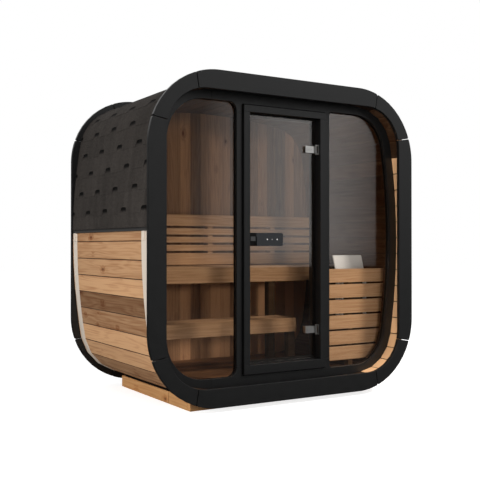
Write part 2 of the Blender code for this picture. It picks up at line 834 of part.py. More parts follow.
def make_door_frame(home, helpers):
    low = FRAME_BOTTOM + SILL_FACE
    high = FRAME_TOP - FRAME_FACE
    lip_low = low + STOP_LIP + SEAT
    lip_high = high - STOP_LIP - SEAT
    for name, side in (("left_jamb", -1), ("right_jamb", 1)):
        section = frame_section(side * FRAME_HALF_WIDTH, -side, FRAME_FACE)
        jamb = Piece(name, upright(section, low + SEAT, high - SEAT), "painted_black_wood", home, helpers)
        reach = (-FRAME_HALF_WIDTH - CUT_PAST, FRAME_HALF_WIDTH + CUT_PAST)
        behind = (frame_stop() - SEAT, DEPTH)
        jamb.cut(block(reach, behind, (low - CUT_PAST, lip_low)))
        jamb.cut(block(reach, behind, (lip_high, high + CUT_PAST)))
    members = (
        ("door_head", frame_section(FRAME_TOP, -1, FRAME_FACE)),
        ("door_sill", frame_section(FRAME_BOTTOM + SHADOW_GAP - SEAT, 1, SILL_FACE - SHADOW_GAP + SEAT)),
    )
    for name, section in members:
        points = [(y, z) for z, y in section]
        Piece(name, along_x(points, -FRAME_HALF_WIDTH, FRAME_HALF_WIDTH), "painted_black_wood", home, helpers)


def leaf_front():
    return frame_stop() - LEAF_TO_STOP - LEAF_THICKNESS


def leaf_half():
    return FRAME_HALF_WIDTH - FRAME_FACE - LEAF_GAP


def hinge_pin():
    """(X, depth) of the hinges' axis."""
    plate_face = FRAME_HALF_WIDTH - FRAME_FACE - SEAT - HINGE_PLATE_THICKNESS
    return plate_face - PIN_FROM_PLATE, leaf_front() - PIN_FROM_LEAF


def clamp_range():
    right = hinge_pin()[0] - KNUCKLE_RADIUS / 4
    return right - CLAMP_LENGTH, right


def core_hole(height, clearance):
    left, right = clamp_range()
    middle = (left + right) / 2 - CLAMP_REAR_SETBACK / 2
    half = CLAMP_CORE / 2 + clearance
    return (middle - half, middle + half), (height - half, height + half)


def make_hinges(home, helpers):
    pin_x, pin_y = hinge_pin()
    plate_right = FRAME_HALF_WIDTH - FRAME_FACE - SEAT
    plate_left = plate_right - HINGE_PLATE_THICKNESS
    front = leaf_front()
    back = front + LEAF_THICKNESS
    for name, height in zip(("lower_hinge", "upper_hinge"), HINGE_HEIGHTS):
        low = height - HINGE_HEIGHT / 2
        high = height + HINGE_HEIGHT / 2
        y = (pin_y - HINGE_PLATE_WIDTH / 2, pin_y + HINGE_PLATE_WIDTH / 2)
        plate = Piece(f"{name}_plate", block((plate_left, plate_right), y, (low, high)), "stainless", home, helpers)
        for z in ((low, low + KNUCKLE_HEIGHT), (high - KNUCKLE_HEIGHT, high)):
            ear = (pin_y - KNUCKLE_RADIUS * 0.8, pin_y + KNUCKLE_RADIUS * 0.8)
            plate.join(block((pin_x, plate_left + HINGE_PLATE_THICKNESS / 2), ear, z))
            plate.join(rod(pin_x, pin_y, z, KNUCKLE_RADIUS, "Z"))
        left, right = clamp_range()
        body = (height - CLAMP_HEIGHT / 2, height + CLAMP_HEIGHT / 2)
        face = front - SEAT
        clamp = Piece(
            f"{name}_clamp", block((left, right), (face - CLAMP_FRONT, face), body), "stainless", home, helpers
        )
        inner = KNUCKLE_HEIGHT + KNUCKLE_GAP
        clamp.join(rod(pin_x, pin_y, (low + inner, high - inner), KNUCKLE_RADIUS, "Z"))
        rear = (left, right - CLAMP_REAR_SETBACK)
        clamp.join(block(rear, (back + SEAT, back + SEAT + CLAMP_REAR), body))
        core_x, core_z = core_hole(height, 0.0)
        clamp.join(block(core_x, (face - CLAMP_FRONT / 2, back + CLAMP_REAR / 2), core_z))


def stud_places():
    left = -leaf_half() + HANDLE_END_GAP
    middle = left + HANDLE_LENGTH / 2 + STUD_OFFSET
    return middle - STUD_SPACING / 2, middle + STUD_SPACING / 2


def make_door(home, helpers):
    front = leaf_front()
    back = front + LEAF_THICKNESS
    half = leaf_half()
    leaf = Piece(
        "door_glass", block((-half, half), (front, back), (LEAF_BOTTOM, LEAF_TOP)), "bronze_glass", home, helpers
    )
    through = (front - BITE, back + BITE)
    for height in HINGE_HEIGHTS:
        core_x, core_z = core_hole(height, SEAT * 2)
        leaf.cut(block(core_x, through, core_z))
    for x in stud_places():
        leaf.cut(rod(x, through, HANDLE_MIDDLE, STUD_HOLE, "Y", 12))


def handle_outline():
    left = -leaf_half() + HANDLE_END_GAP
    low = HANDLE_MIDDLE - HANDLE_HEIGHT / 2
    points = [(left, low), (left + HANDLE_LENGTH, low)]
    points += [(left + HANDLE_LENGTH, low + HANDLE_HEIGHT), (left, low + HANDLE_HEIGHT)]
    for corner in list(points):
        points = filleted(points, corner, HANDLE_CORNER, 4)
    return points


def make_handle(home, helpers):
    """A plate on each side of the glass, joined by two studs, with a latch block in its free end."""
    front = leaf_front()
    back = front + LEAF_THICKNESS
    outer = (front - SEAT - HANDLE_THICKNESS, front - SEAT)
    inner = (back + SEAT, back + SEAT + HANDLE_THICKNESS)
    handle = Piece("door_handle", across(handle_outline(), *outer), "black_plastic", home, helpers)
    left = -leaf_half() + HANDLE_END_GAP
    low = HANDLE_MIDDLE - HANDLE_HEIGHT / 2
    notch = block(
        (left - BITE, left + LATCH_LENGTH),
        (outer[0] - BITE, outer[0] + LATCH_RECESS),
        (low - BITE, low + LATCH_NOTCH_HEIGHT),
    )
    handle.cut(notch)
    latch_left = left + LATCH_INSET
    latch_low = low + LATCH_RISE
    handle.join(
        block(
            (latch_left, latch_left + LATCH_BLOCK_LENGTH),
            (outer[0] + LATCH_SETBACK, outer[1] - LATCH_SETBACK),
            (latch_low, latch_low + LATCH_BLOCK_HEIGHT),
        )
    )
    inside = across(window_of(handle_outline(), x=(left + STOP_LIP + HANDLE_END_GAP, 1.0)), *inner)
    handle.join(inside)
    overlap = STUD_BITE
    for x in stud_places():
        handle.join(rod(x, (outer[1] - overlap, inner[0] + overlap), HANDLE_MIDDLE, STUD_RADIUS, "Y", 12))


def make_rear_wall(home, helpers):
    back = DEPTH - REAR_RECESS
    Piece("rear_wall", across(inner_loop(), back - REAR_THICKNESS, back), "interior_wood", home, helpers)


def room():
    """Depth of the room's front and rear, with a seat gap to each wall."""
    return WALL_RECESS + WALL_FRAME + SEAT, DEPTH - REAR_RECESS - REAR_THICKNESS - SEAT


def make_floor(home, helpers):
    points = window_of(inner_loop(), z=(FLOOR_TOP - FLOOR_THICKNESS, FLOOR_TOP))
    Piece("floor", across(points, *room()), "interior_wood", home, helpers)


def slats(front, rear):
    """Depth ranges of bench slats laid from the front edge towards the rear."""
    count = int((rear - front + SLAT_GAP) / (SLAT_WIDTH + SLAT_GAP))
    pitch = (rear - front + SLAT_GAP) / count
    return [(front + pitch * i, front + pitch * i + pitch - SLAT_GAP) for i in range(count)]


def spread(first, last, count):
    """Middles of bearers spaced evenly from the first to the last."""
    return [first + (last - first) * index / (count - 1) for index in range(count)]


def make_upper_bench(home, helpers):
    rear = BACKREST_FACE
    top = (UPPER_TOP - BOARD, UPPER_TOP)
    loop = inner_loop()
    fascia = window_of(loop, z=(UPPER_TOP - UPPER_FASCIA, UPPER_TOP))
    bench = Piece("upper_bench", across(fascia, UPPER_FRONT, UPPER_FRONT + BOARD), "interior_wood", home, helpers)
    for y in slats(UPPER_FRONT + BOARD + SLAT_GAP, rear):
        bench.join(across(window_of(loop, z=top), *y))
    under = (top[0] - BEARER, top[0] + BOARD / 3)
    outermost = INNER_HALF - UPPER_BEARER_INSET
    for x in spread(-outermost, outermost, UPPER_BEARERS):
        bench.join(block((x - BEARER / 2, x + BEARER / 2), (UPPER_FRONT + BOARD / 2, rear), under))
    post = (LOWER_END - LEG + SEAT, LOWER_END)
    bench.join(
        block(post, (UPPER_FRONT + BOARD / 2, UPPER_FRONT + BOARD + BEARER), (FLOOR_TOP + SEAT, under[1]))
    )


def make_lower_bench(home, helpers):
    rear = UPPER_FRONT - SEAT
    top = (LOWER_TOP - BOARD, LOWER_TOP)
    reach = (-BARREL_HALF, LOWER_END)
    loop = inner_loop()
    fascia = window_of(loop, x=reach, z=(LOWER_TOP - LOWER_FASCIA, LOWER_TOP))
    bench = Piece("lower_bench", across(fascia, LOWER_FRONT, LOWER_FRONT + BOARD), "interior_wood", home, helpers)
    for y in slats(LOWER_FRONT + BOARD + SLAT_GAP, rear):
        bench.join(across(window_of(loop, x=reach, z=top), *y))
    under = (top[0] - BEARER, top[0] + BOARD / 3)
    for x in spread(LOWER_BEARER_INSET - INNER_HALF, LOWER_END - LEG / 2, LOWER_BEARERS):
        bench.join(block((x - BEARER / 2, x + BEARER / 2), (LOWER_FRONT + BOARD / 2, rear), under))
    leg = (LOWER_END - LEG, LOWER_END)
    bench.join(block(leg, (LOWER_FRONT + BOARD / 2, LOWER_FRONT + BOARD + BEARER), (FLOOR_TOP + SEAT, under[1])))


def make_backrest(home, helpers):
    """Boards across the rear wall with open gaps, on battens that stand off it."""
    front = BACKREST_FACE + SEAT
    rear = room()[1]
    low = UPPER_TOP + BACKREST_RISE
    backrest = None
    for height in BACKREST_BOARDS:
        board = block((-BACKREST_HALF, BACKREST_HALF), (front, front + BACKREST_BOARD), (low, low + height))
        if backrest is None:
            backrest = Piece("backrest", board, "interior_wood", home, helpers)
        else:
            backrest.join(board)
        low += height + BACKREST_GAP
    z = (UPPER_TOP + BACKREST_RISE + BITE, low - BACKREST_GAP - BITE)
    for x in spread(-BATTEN_SPACING, BATTEN_SPACING, BATTENS):
        backrest.join(block((x - BATTEN / 2, x + BATTEN / 2), (front + BACKREST_BOARD / 2, rear), z))


def make_heater_guard(home, helpers):
    """Boards between two posts on the floor and the cabin's right wall."""
    loop = inner_loop()
    pitch = GUARD_BOARD + GUARD_GAP
    guard = None
    for index in range(GUARD_BOARDS):
        low = GUARD_BOTTOM + pitch * index
        outline = window_of(loop, x=(GUARD_LEFT, BARREL_HALF), z=(low, low + GUARD_BOARD))
        mesh = across(outline, GUARD_FACE, GUARD_FACE + GUARD_THICKNESS)
        if guard is None:
            guard = Piece("heater_guard", mesh, "interior_wood", home, helpers)
        else:
            guard.join(mesh)
    top = GUARD_BOTTOM + pitch * GUARD_BOARDS - GUARD_GAP - BITE
    for x in (GUARD_LEFT + GUARD_POST_INSET, GUARD_LEFT + GUARD_POST_INSET + GUARD_POST_SPACING):
        y = (GUARD_FACE + GUARD_THICKNESS / 2, GUARD_FACE + GUARD_THICKNESS + GUARD_POST)
        guard.join(block((x, x + GUARD_POST), y, (FLOOR_TOP + SEAT, top)))


def make_heater(home, helpers):
    """A sheet-steel stove held off the right wall by two brackets, with a leaning panel above its front."""
    x = (HEATER_LEFT, HEATER_RIGHT)
    heater_top = HEATER_BOTTOM + HEATER_HEIGHT
    body = block(x, (HEATER_FRONT, HEATER_BACK), (HEATER_BOTTOM, heater_top))
    heater = Piece("heater", body, "stainless", home, helpers)
    lean = HEATER_PANEL_LEAN
    front = HEATER_FRONT
    sheet = [
        (front, heater_top - 2 * BITE),
        (front + lean, heater_top + HEATER_PANEL),
        (front + lean + HEATER_SHEET, heater_top + HEATER_PANEL),
        (front + HEATER_SHEET, heater_top - 2 * BITE),
    ]
    heater.join(along_x(sheet, HEATER_LEFT, HEATER_RIGHT))
    for low in (HEATER_BOTTOM + HEATER_BRACKET, heater_top - 2 * HEATER_BRACKET):
        reach = window_of(inner_loop(), x=(HEATER_RIGHT - BITE, BARREL_HALF), z=(low, low + HEATER_BRACKET))
        heater.join(across(reach, HEATER_FRONT + HEATER_BRACKET, HEATER_BACK - HEATER_BRACKET))


def main():
    clear_scene()
    make_materials()
    home = collection("outdoor_sauna_cabin")
    helpers = collection("cutters")
    make_barrel(home, helpers)
    make_trim("front", 0.0, home, helpers)
    make_trim("rear", RING_REAR, home, helpers)
    make_roofing(home, helpers)
    make_drip_edges(home, helpers)
    make_straps(home, helpers)
    make_base(home, helpers)
    make_front_wall(home, helpers)
    make_windows(home, helpers)
    make_door_frame(home, helpers)
    make_hinges(home, helpers)
    make_door(home, helpers)
    make_handle(home, helpers)
    make_rear_wall(home, helpers)
    make_floor(home, helpers)
    make_upper_bench(home, helpers)
    make_lower_bench(home, helpers)
    make_backrest(home, helpers)
    make_heater_guard(home, helpers)
    make_heater(home, helpers)


main()
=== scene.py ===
"""Outdoor sauna cabin, dressed over its frame.

Staves, shingles, black boards, bronze glass and the fittings inside. Metres, +Z up, the glass faces -Y. The
frame gives the places, and the sizes below give what it leaves out.
"""

import json
import math
import random

import bmesh
import bpy
from mathutils import Matrix, Vector


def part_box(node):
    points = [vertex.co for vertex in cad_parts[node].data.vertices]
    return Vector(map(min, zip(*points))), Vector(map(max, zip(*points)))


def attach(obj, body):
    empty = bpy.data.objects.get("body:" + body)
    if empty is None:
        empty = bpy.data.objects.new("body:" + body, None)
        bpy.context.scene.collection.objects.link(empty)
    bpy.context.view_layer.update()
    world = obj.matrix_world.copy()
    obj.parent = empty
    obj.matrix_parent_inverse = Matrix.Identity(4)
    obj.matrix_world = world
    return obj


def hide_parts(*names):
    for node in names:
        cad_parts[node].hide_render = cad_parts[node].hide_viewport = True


bl_info = {
    "name": "Outdoor sauna cabin",
    "version": (1, 0, 0),
    "blender": (4, 5, 0),
    "location": "View3D > Sidebar > Cabin",
    "description": "Dresses the frame of a barrel sauna cabin with boards, shingles, glass and fittings",
    "category": "Object",
}

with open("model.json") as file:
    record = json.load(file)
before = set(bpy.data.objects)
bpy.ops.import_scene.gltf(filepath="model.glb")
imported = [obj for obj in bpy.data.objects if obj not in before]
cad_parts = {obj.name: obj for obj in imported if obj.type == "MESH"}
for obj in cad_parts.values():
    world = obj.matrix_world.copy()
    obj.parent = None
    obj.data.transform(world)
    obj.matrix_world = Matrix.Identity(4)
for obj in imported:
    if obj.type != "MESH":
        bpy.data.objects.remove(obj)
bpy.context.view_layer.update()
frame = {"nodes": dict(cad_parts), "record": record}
BODY_OF = {node: body for body, nodes in frame["record"]["behaviour"]["bodies"].items() for node in nodes}

# The barrel's section: four slightly bulging sides and four round corners, laid up from equal staves
SIDE_RADIUS = 4.45
CORNER_RADIUS = 0.37
STAVES = 62
STAVE_PHASE = -0.016
BARREL_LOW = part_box("shell_bottom")[0][2]
BARREL_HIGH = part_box("shell_top")[1][2]
BARREL_HALF = (BARREL_HIGH - BARREL_LOW) / 2
MID_Z = (BARREL_HIGH + BARREL_LOW) / 2
SHELL_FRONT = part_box("shell_top")[0][1]
SHELL_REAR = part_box("shell_top")[1][1]
SHELLS = ("shell_left", "shell_top", "shell_right", "shell_bottom")
TRIM_BOARDS = ("top", "bottom", "left", "right", "top_left", "top_right", "bottom_left", "bottom_right")

# The roofing lies this far off the staves, and its first notch this far behind the front end
ROOF_CLEAR = 0.0006
NOTCH_PHASE = 0.062

# A tab lifts at its lower end and lies flat at its upper end, which the next course covers. Its granules fade
# out into a nearly black painted shadow between these heights above what shows
TAB_RISE = 0.0030
TAB_FALL = 0.0003
TAB_OVERLAP = 0.06
TAB_JOINT = 0.001
TAB_FADE = (0.006, 0.026)

# The base rails are made of two lengths that meet here, one saw cut apart
RAIL_JOINT = -0.251
SAW_CUT = 0.005

# A near-black packing strip, set back from the rail's outer and inner faces, fills the gap under the staves
# and paints the shadow in it
PACKING_CLEAR = 0.0008
PACKING_SUNK = 0.0005
PACKING_OUTER = 0.010
PACKING_INNER = 0.003

# Rounded edges of bare timber, of the fittings inside, of the painted door frame and front wall, of the
# panes, and of the hinges' clamps and plates
BEAM_EDGE = 0.0025
INNER_EDGE = 0.002
FRAME_EDGE = 0.002
WALL_EDGE = 0.0015
PANE_EDGE = 0.001
CLAMP_EDGE = 0.0012
PLATE_EDGE = 0.0008

# Boards of the rear wall and the floor stand this far apart, and this far off the staves
LINING_JOINT = 0.0002
LINING_CLEAR = 0.0005

# Tones of the left side's boards, from the eave down; a board's own tone runs from 0 to 1
LEFT_TONES = (0.4, 0.55, 0.5, 0.85, -0.35, 0.1, 0.95, 0.8, 0.3)

# Tones of the joints between staves, and what is added to a share of the own tone of their inner faces: a
# painted shade in the room, a painted shadow in front of the front wall, and painted light there in the
# reveal at the right, up to this height
JOINT_TONE = -0.9
INNER_SHARE = 0.3
ROOM_TONE = -0.95
PORCH_TONE = -1.3
REVEAL_TONE = 1.9
REVEAL_LEFT = 0.7
REVEAL_TOP = 1.85

# What is added to the tones of the rear wall's inner faces: a painted shade above the bench, a tone below it,
# and a painted light below it behind the door, from here to the right. They change this far under the bench's
# top, and below it the boards' own tones differ more by a factor
LINING_HIGH_TONE = -0.25
LINING_LOW_TONE = 0.0
LINING_DOOR_TONE = 2.1
LINING_CONTRAST = 1.5
LINING_CHANGE = 0.01
DOOR_PART = 0.4

# Tones of the cradles' front faces, a painted shadow; the boards inside; the benches' fronts, a painted
# shade;
# what stands lower than this depth below a bench's top, a painted shadow; and what lies this far behind the
# guard's face, a painted shade
CRADLE_FRONT_TONE = -0.6
BENCH_TONE = 0.45
BENCH_FRONT_TONE = 0.0
BEARER_TONE = -1.2
GUARD_BACK_TONE = -1.0
BENCH_BOARD_DEPTH = 0.13
GUARD_FACE = 0.004

# Screws of each hinge clamp: radius, height, how far they stand out, and places from the clamp's left end
CLAMP_SCREW = (0.0048, 0.0024, 0.0006)
CLAMP_SCREW_PLACES = (0.022, 0.048)

# Studs and screw of the handle: name, radius, places from the handle's left end; then height and how far out
HANDLE_STUDS = (("studs", 0.0062, (0.143, 0.226)), ("screw", 0.0030, (0.183,)))
STUD_HEIGHT = 0.0016
STUD_OUT = 0.0004

# Corners of the latch's near-black rubber lining, which also paints the shade in its notch, and of its bolt,
# from the handle's low corner
LATCH_LINING = (
    ((0.0005, 0.0115, 0.0), (0.0555, 0.0129, 0.0665)),
    ((0.0005, -0.0004, 0.0675), (0.0500, 0.0004, 0.0900)),
)
LATCH_BOLT = (((0.0055, 0.0012, 0.0355), (0.0450, 0.0034, 0.0665)),)

# Steel angles behind the guard's boards: places, thickness, set-back from the guard's front and rear, and how
# far below the guard's top they begin and end
GUARD_ANGLES = (0.614, 0.654, 0.884)
ANGLE_THICK = 0.006
ANGLE_FRONT = 0.0225
ANGLE_REAR = 0.003
ANGLE_TOP = 0.010
ANGLE_FOOT = 0.380

# The stove's leaning panel is this high. Its stones lie in rows of so many, this far apart, each up to a
# stray off its place and up to a lift above the level
PANEL_HEIGHT = 0.138
STONE_RADIUS = 0.034
STONE_ROWS = 4
STONE_FIRST = (0.045, 0.085)
STONE_STEP = (0.062, 0.052)
STONE_LEVEL = 0.90
STONE_STRAY = 0.006
STONE_LIFT = 0.014

# Name, place, side and power of each lamp: the key from the right front and above, the fill from the left,
# and a low one from in front, which lights the room through the glass
LAMPS = (
    ("key", (3.7, -4.9, 5.4), 1.2, 500.0),
    ("fill", (-7.4, -1.6, 3.0), 3.0, 280.0),
    ("front", (-2.1, -7.7, 1.9), 0.8, 175.0),
)

# The camera's place, its turn from +Y and its rise in degrees, and its lens and sensor in millimetres
CAMERA_PLACE = (-3.2535, -5.3403, 1.1108)
CAMERA_YAW = 31.33
CAMERA_PITCH = 0.41
CAMERA_LENS = 60.17
CAMERA_SENSOR = 36.0


# Settings


def size_property(name, description, default):
    return bpy.props.FloatProperty(name=name, description=description, default=default, unit="LENGTH")


class CabinSizes(bpy.types.PropertyGroup):
    """Sizes of what the frame leaves out."""

    wall: size_property("Wall", "Thickness of the staves", 0.050)
    stave_gap: size_property("Stave joint", "Open joint between two staves", 0.00005)
    stave_chamfer: size_property("Stave chamfer", "Chamfer along each stave's edges", 0.0034)
    board_edge: size_property("Board edge", "Round along the edges of painted boards", 0.003)
    lining_width: size_property("Lining board", "Width of a board of the rear wall", 0.095)
    floor_board: size_property("Floor board", "Width of the floor's boards", 0.095)
    tab_width: size_property("Shingle tab", "Width of one shingle tab", 0.333)
    course: size_property("Course", "Height of shingle left open to the weather", 0.148)
    first_course: size_property("First course", "Open height of the starter strip", 0.096)
    notch_width: size_property("Notch width", "Width of the notch between two tabs", 0.104)
    notch_height: size_property("Notch height", "Height of the notch between two tabs", 0.044)
    shingle: size_property("Shingle", "Thickness of one shingle", 0.0016)


def colour_property(name, description, code):
    return bpy.props.FloatVectorProperty(
        name=name, description=description, default=srgb(code)[:3], size=3, subtype="COLOR", min=0.0, max=1.0
    )


def srgb(code):
    """Linear colour from an sRGB hex value."""
    parts = [int(code[i : i + 2], 16) / 255 for i in (0, 2, 4)]
    linear = [p / 12.92 if p <= 0.04045 else ((p + 0.055) / 1.055) ** 2.4 for p in parts]
    return (*linear, 1.0)


class CabinColours(bpy.types.PropertyGroup):
    """Colours of the cabin's finishes."""

    stave: colour_property("Staves", "Oiled spruce, early wood", "B88F68")
    stave_late: colour_property("Staves, late wood", "Oiled spruce, late wood", "86512A")
    base: colour_property("Base", "Bare spruce of the base, early wood", "F6BF81")
    base_late: colour_property("Base, late wood", "Bare spruce of the base, late wood", "D39056")
    lining: colour_property("Lining", "Rear wall, early wood", "A58363")
    lining_late: colour_property("Lining, late wood", "Rear wall, late wood", "745640")
    bench: colour_property("Benches", "Pale bench wood, early wood", "D0AE88")
    bench_late: colour_property("Benches, late wood", "Pale bench wood, late wood", "AA845C")
    floor: colour_property("Floor", "Floor boards, early wood", "8C6848")
    floor_late: colour_property("Floor, late wood", "Floor boards, late wood", "5E4029")
    knot: colour_property("Knots", "Knots in every board", "5A3620")
    paint: colour_property("Paint", "Black paint on the outer boards", "111111")
    shingle: colour_property("Shingles", "Mineral granules on bitumen", "34302D")
    steel: colour_property("Steel", "Stainless fittings", "C8C7C4")
    # Nearly white, which also paints the panel's bright reflection
    pale_steel: colour_property("Pale steel", "Bead-blasted stove panel and guard angles", "F3FCFF")
    dull_steel: colour_property("Dull steel", "Bolt of the latch", "6F6F6F")
    # Nearly black, which also paints the shade seen through the guard's gaps
    dark_steel: colour_property("Dark steel", "Casing of the stove, darkened by heat", "454546")
    # Nearly white, which paints the straps' bright reflection
    strap: colour_property("Straps", "Steel straps", "E0D3C4")
    glass: colour_property("Glass", "Bronze tint at each face of a pane", "F2EDE9")
    plastic: colour_property("Handle", "Moulded handle", "202123")
    ground: colour_property("Ground", "Pale floor of the stage", "CBCBCB")
    ground_mirrored: colour_property("Ground, mirrored", "The floor as shiny surfaces mirror it", "454545")


def sizes():
    return bpy.context.scene.cabin_sizes


def colours():
    return bpy.context.scene.cabin_colours


# Materials


def add(tree, kind, inputs=None, **settings):
    """Adds a node with its settings; inputs are values or sockets to link."""
    node = tree.nodes.new(kind)
    for name, value in settings.items():
        setattr(node, name, value)
    for key, value in (inputs or {}).items():
        if isinstance(value, bpy.types.NodeSocket):
            tree.links.new(value, node.inputs[key])
        else:
            node.inputs[key].default_value = value
    return node


def new_material(name):
    made = bpy.data.materials.new(name)
    made.use_nodes = True
    tree = made.node_tree
    tree.nodes.clear()
    return made, tree


def board_wood(name, early, late, along, knotty):
    """Planed spruce: straight grain along the board, bent and dark round a knot, in each face's tone, painted
    light and shade included.

    The pattern reads the object's coordinates, moved for each board by its own attribute where it has one.
    """
    made, tree = new_material(name)
    place = add(tree, "ShaderNodeTexCoord").outputs["Object"]
    shift = add(tree, "ShaderNodeAttribute", attribute_name="shift").outputs["Vector"]
    tone = add(tree, "ShaderNodeAttribute", attribute_name="tone").outputs["Fac"]
    moved = add(tree, "ShaderNodeVectorMath", {0: place, 1: shift}, operation="ADD").outputs[0]
    # Knots 20 mm across in cells of 140 mm, drawn out along the grain
    knot_scale = [1.0, 1.0, 1.0]
    knot_scale["XYZ".index(along)] = 0.55
    cells = add(tree, "ShaderNodeVectorMath", {0: moved, 1: knot_scale}, operation="MULTIPLY").outputs[0]
    cell = add(tree, "ShaderNodeTexVoronoi", {"Vector": cells, "Scale": 7.0}).outputs["Distance"]
    round_knot = {"Value": cell, "From Min": 0.30, "From Max": 0.04, "To Max": knotty}
    near = add(tree, "ShaderNodeMapRange", round_knot, interpolation_type="SMOOTHSTEP").outputs["Result"]
    in_knot = {"Value": cell, "From Min": 0.105, "From Max": 0.06, "To Max": knotty}
    core = add(tree, "ShaderNodeMapRange", in_knot).outputs["Result"]
    # Year rings 12 mm apart, coarser than the real 3 mm so that they show, and fibres of 1 mm
    layers = []
    for across, down, detail in ((11.0, 0.7, 2.0), (70.0, 1.3, 3.0), (500.0, 9.0, 2.0)):
        scale = [across] * 3
        scale["XYZ".index(along)] = down
        stretched = add(tree, "ShaderNodeVectorMath", {0: moved, 1: scale}, operation="MULTIPLY").outputs[0]
        noise = {"Vector": stretched, "Scale": 1.0, "Detail": detail}
        layers.append(add(tree, "ShaderNodeTexNoise", noise).outputs["Fac"])
    field, streak, fibre = layers
    bent = add(tree, "ShaderNodeMath", {0: near, 1: 0.16, 2: field}, operation="MULTIPLY_ADD").outputs[0]
    rings = add(tree, "ShaderNodeMath", {0: bent, 1: 70.0}, operation="MULTIPLY").outputs[0]
    wave = add(tree, "ShaderNodeMath", {0: rings}, operation="SINE").outputs[0]
    # Rings, streaks, fibres, knots and a dark tone each add late wood, and how pale a board is follows its
    # tone, which is its own and on some faces holds painted light and shade, and slow changes across it
    sums = []
    for total, parts in (
        (-0.66, ((wave, 0.17), (streak, 1.5), (fibre, 0.55), (near, 0.60), (tone, -0.35))),
        (0.64, ((field, 0.16), (tone, 0.52))),
    ):
        for part, weight in parts:
            given = {0: part, 1: weight, 2: total}
            total = add(tree, "ShaderNodeMath", given, operation="MULTIPLY_ADD").outputs[0]
        sums.append(total)
    share, level = sums
    share.node.use_clamp = True
    grain = {0: share, 6: (*early, 1.0), 7: (*late, 1.0)}
    wood = add(tree, "ShaderNodeMix", grain, data_type="RGBA").outputs[2]
    shaded = add(tree, "ShaderNodeVectorMath", {0: wood, "Scale": level}, operation="SCALE").outputs[0]
    spots = {0: core, 6: shaded, 7: (*colours().knot, 1.0)}
    knotted = add(tree, "ShaderNodeMix", spots, data_type="RGBA").outputs[2]
    height = add(tree, "ShaderNodeMath", {0: share, 1: core}, operation="ADD").outputs[0]
    relief = {"Height": height, "Strength": 0.25, "Distance": 0.0006}
    bump = add(tree, "ShaderNodeBump", relief).outputs["Normal"]
    surface = {"Base Color": knotted, "Roughness": 0.62, "Specular IOR Level": 0.35, "Normal": bump}
    shader = add(tree, "ShaderNodeBsdfPrincipled", surface)
    add(tree, "ShaderNodeOutputMaterial", {"Surface": shader.outputs[0]})
    return made


def black_paint():
    """Opaque paint on planed spruce: nearly black, satin, with the grain just telegraphing through."""
    made, tree = new_material("black_painted_spruce")
    place = add(tree, "ShaderNodeTexCoord").outputs["Object"]
    cloud = add(tree, "ShaderNodeTexNoise", {"Vector": place, "Scale": 14.0, "Detail": 4.0}).outputs["Fac"]
    grain = add(tree, "ShaderNodeTexNoise", {"Vector": place, "Scale": 160.0, "Detail": 3.0}).outputs["Fac"]
    rough, level = (
        add(tree, "ShaderNodeMapRange", {"Value": cloud, "To Min": least, "To Max": most}).outputs["Result"]
        for least, most in ((0.34, 0.48), (0.8, 1.2))
    )
    dark = {0: tuple(colours().paint), "Scale": level}
    shade = add(tree, "ShaderNodeVectorMath", dark, operation="SCALE").outputs[0]
    relief = {"Height": grain, "Strength": 0.2, "Distance": 0.0004}
    bump = add(tree, "ShaderNodeBump", relief).outputs["Normal"]
    surface = {"Base Color": shade, "Roughness": rough, "Specular IOR Level": 0.4, "Normal": bump}
    shader = add(tree, "ShaderNodeBsdfPrincipled", surface)
    add(tree, "ShaderNodeOutputMaterial", {"Surface": shader.outputs[0]})
    return made


def mineral_granules():
    """Bitumen shingle under mineral granules: rough, dull, mottled warm grey, each tab lighter or darker."""
    made, tree = new_material("mineral_granules_on_bitumen")
    place = add(tree, "ShaderNodeTexCoord").outputs["Object"]
    tone = add(tree, "ShaderNodeAttribute", attribute_name="tone").outputs["Fac"]
    # Granules are about a millimetre; they are drawn at three so that they show
    granules = add(tree, "ShaderNodeTexVoronoi", {"Vector": place, "Scale": 320.0}).outputs["Color"]
    cloud = add(tree, "ShaderNodeTexNoise", {"Vector": place, "Scale": 30.0, "Detail": 5.0}).outputs["Fac"]
    speck = add(tree, "ShaderNodeSeparateColor", {"Color": granules}).outputs["Red"]
    level = 0.25
    for part, weight in ((speck, 0.8), (cloud, 0.4), (tone, 0.28)):
        given = {0: part, 1: weight, 2: level}
        level = add(tree, "ShaderNodeMath", given, operation="MULTIPLY_ADD").outputs[0]
    # Faint streaks run down the slope, and what a higher course covers has no granules and is nearly black:
    # bare bitumen and the painted shadow in the notches
    slope = (1.4, 14.0, 1.4)
    scaled = add(tree, "ShaderNodeVectorMath", {0: place, 1: slope}, operation="MULTIPLY").outputs[0]
    streak = add(tree, "ShaderNodeTexNoise", {"Vector": scaled, "Scale": 1.0, "Detail": 3.0}).outputs["Fac"]
    covered = add(tree, "ShaderNodeAttribute", attribute_name="covered").outputs["Fac"]
    hidden = {"Value": covered, "To Min": 1.0, "To Max": 0.06}
    bare = add(tree, "ShaderNodeMapRange", hidden).outputs["Result"]
    faint = add(tree, "ShaderNodeMath", {0: streak, 1: 0.7, 2: 0.65}, operation="MULTIPLY_ADD").outputs[0]
    for share in (faint, bare):
        level = add(tree, "ShaderNodeMath", {0: level, 1: share}, operation="MULTIPLY").outputs[0]
    warm = {0: tuple(colours().shingle), "Scale": level}
    shade = add(tree, "ShaderNodeVectorMath", warm, operation="SCALE").outputs[0]
    relief = {"Height": speck, "Strength": 0.7, "Distance": 0.001}
    bump = add(tree, "ShaderNodeBump", relief).outputs["Normal"]
    surface = {"Base Color": shade, "Roughness": 0.95, "Specular IOR Level": 0.15, "Normal": bump}
    shader = add(tree, "ShaderNodeBsdfPrincipled", surface)
    add(tree, "ShaderNodeOutputMaterial", {"Surface": shader.outputs[0]})
    return made


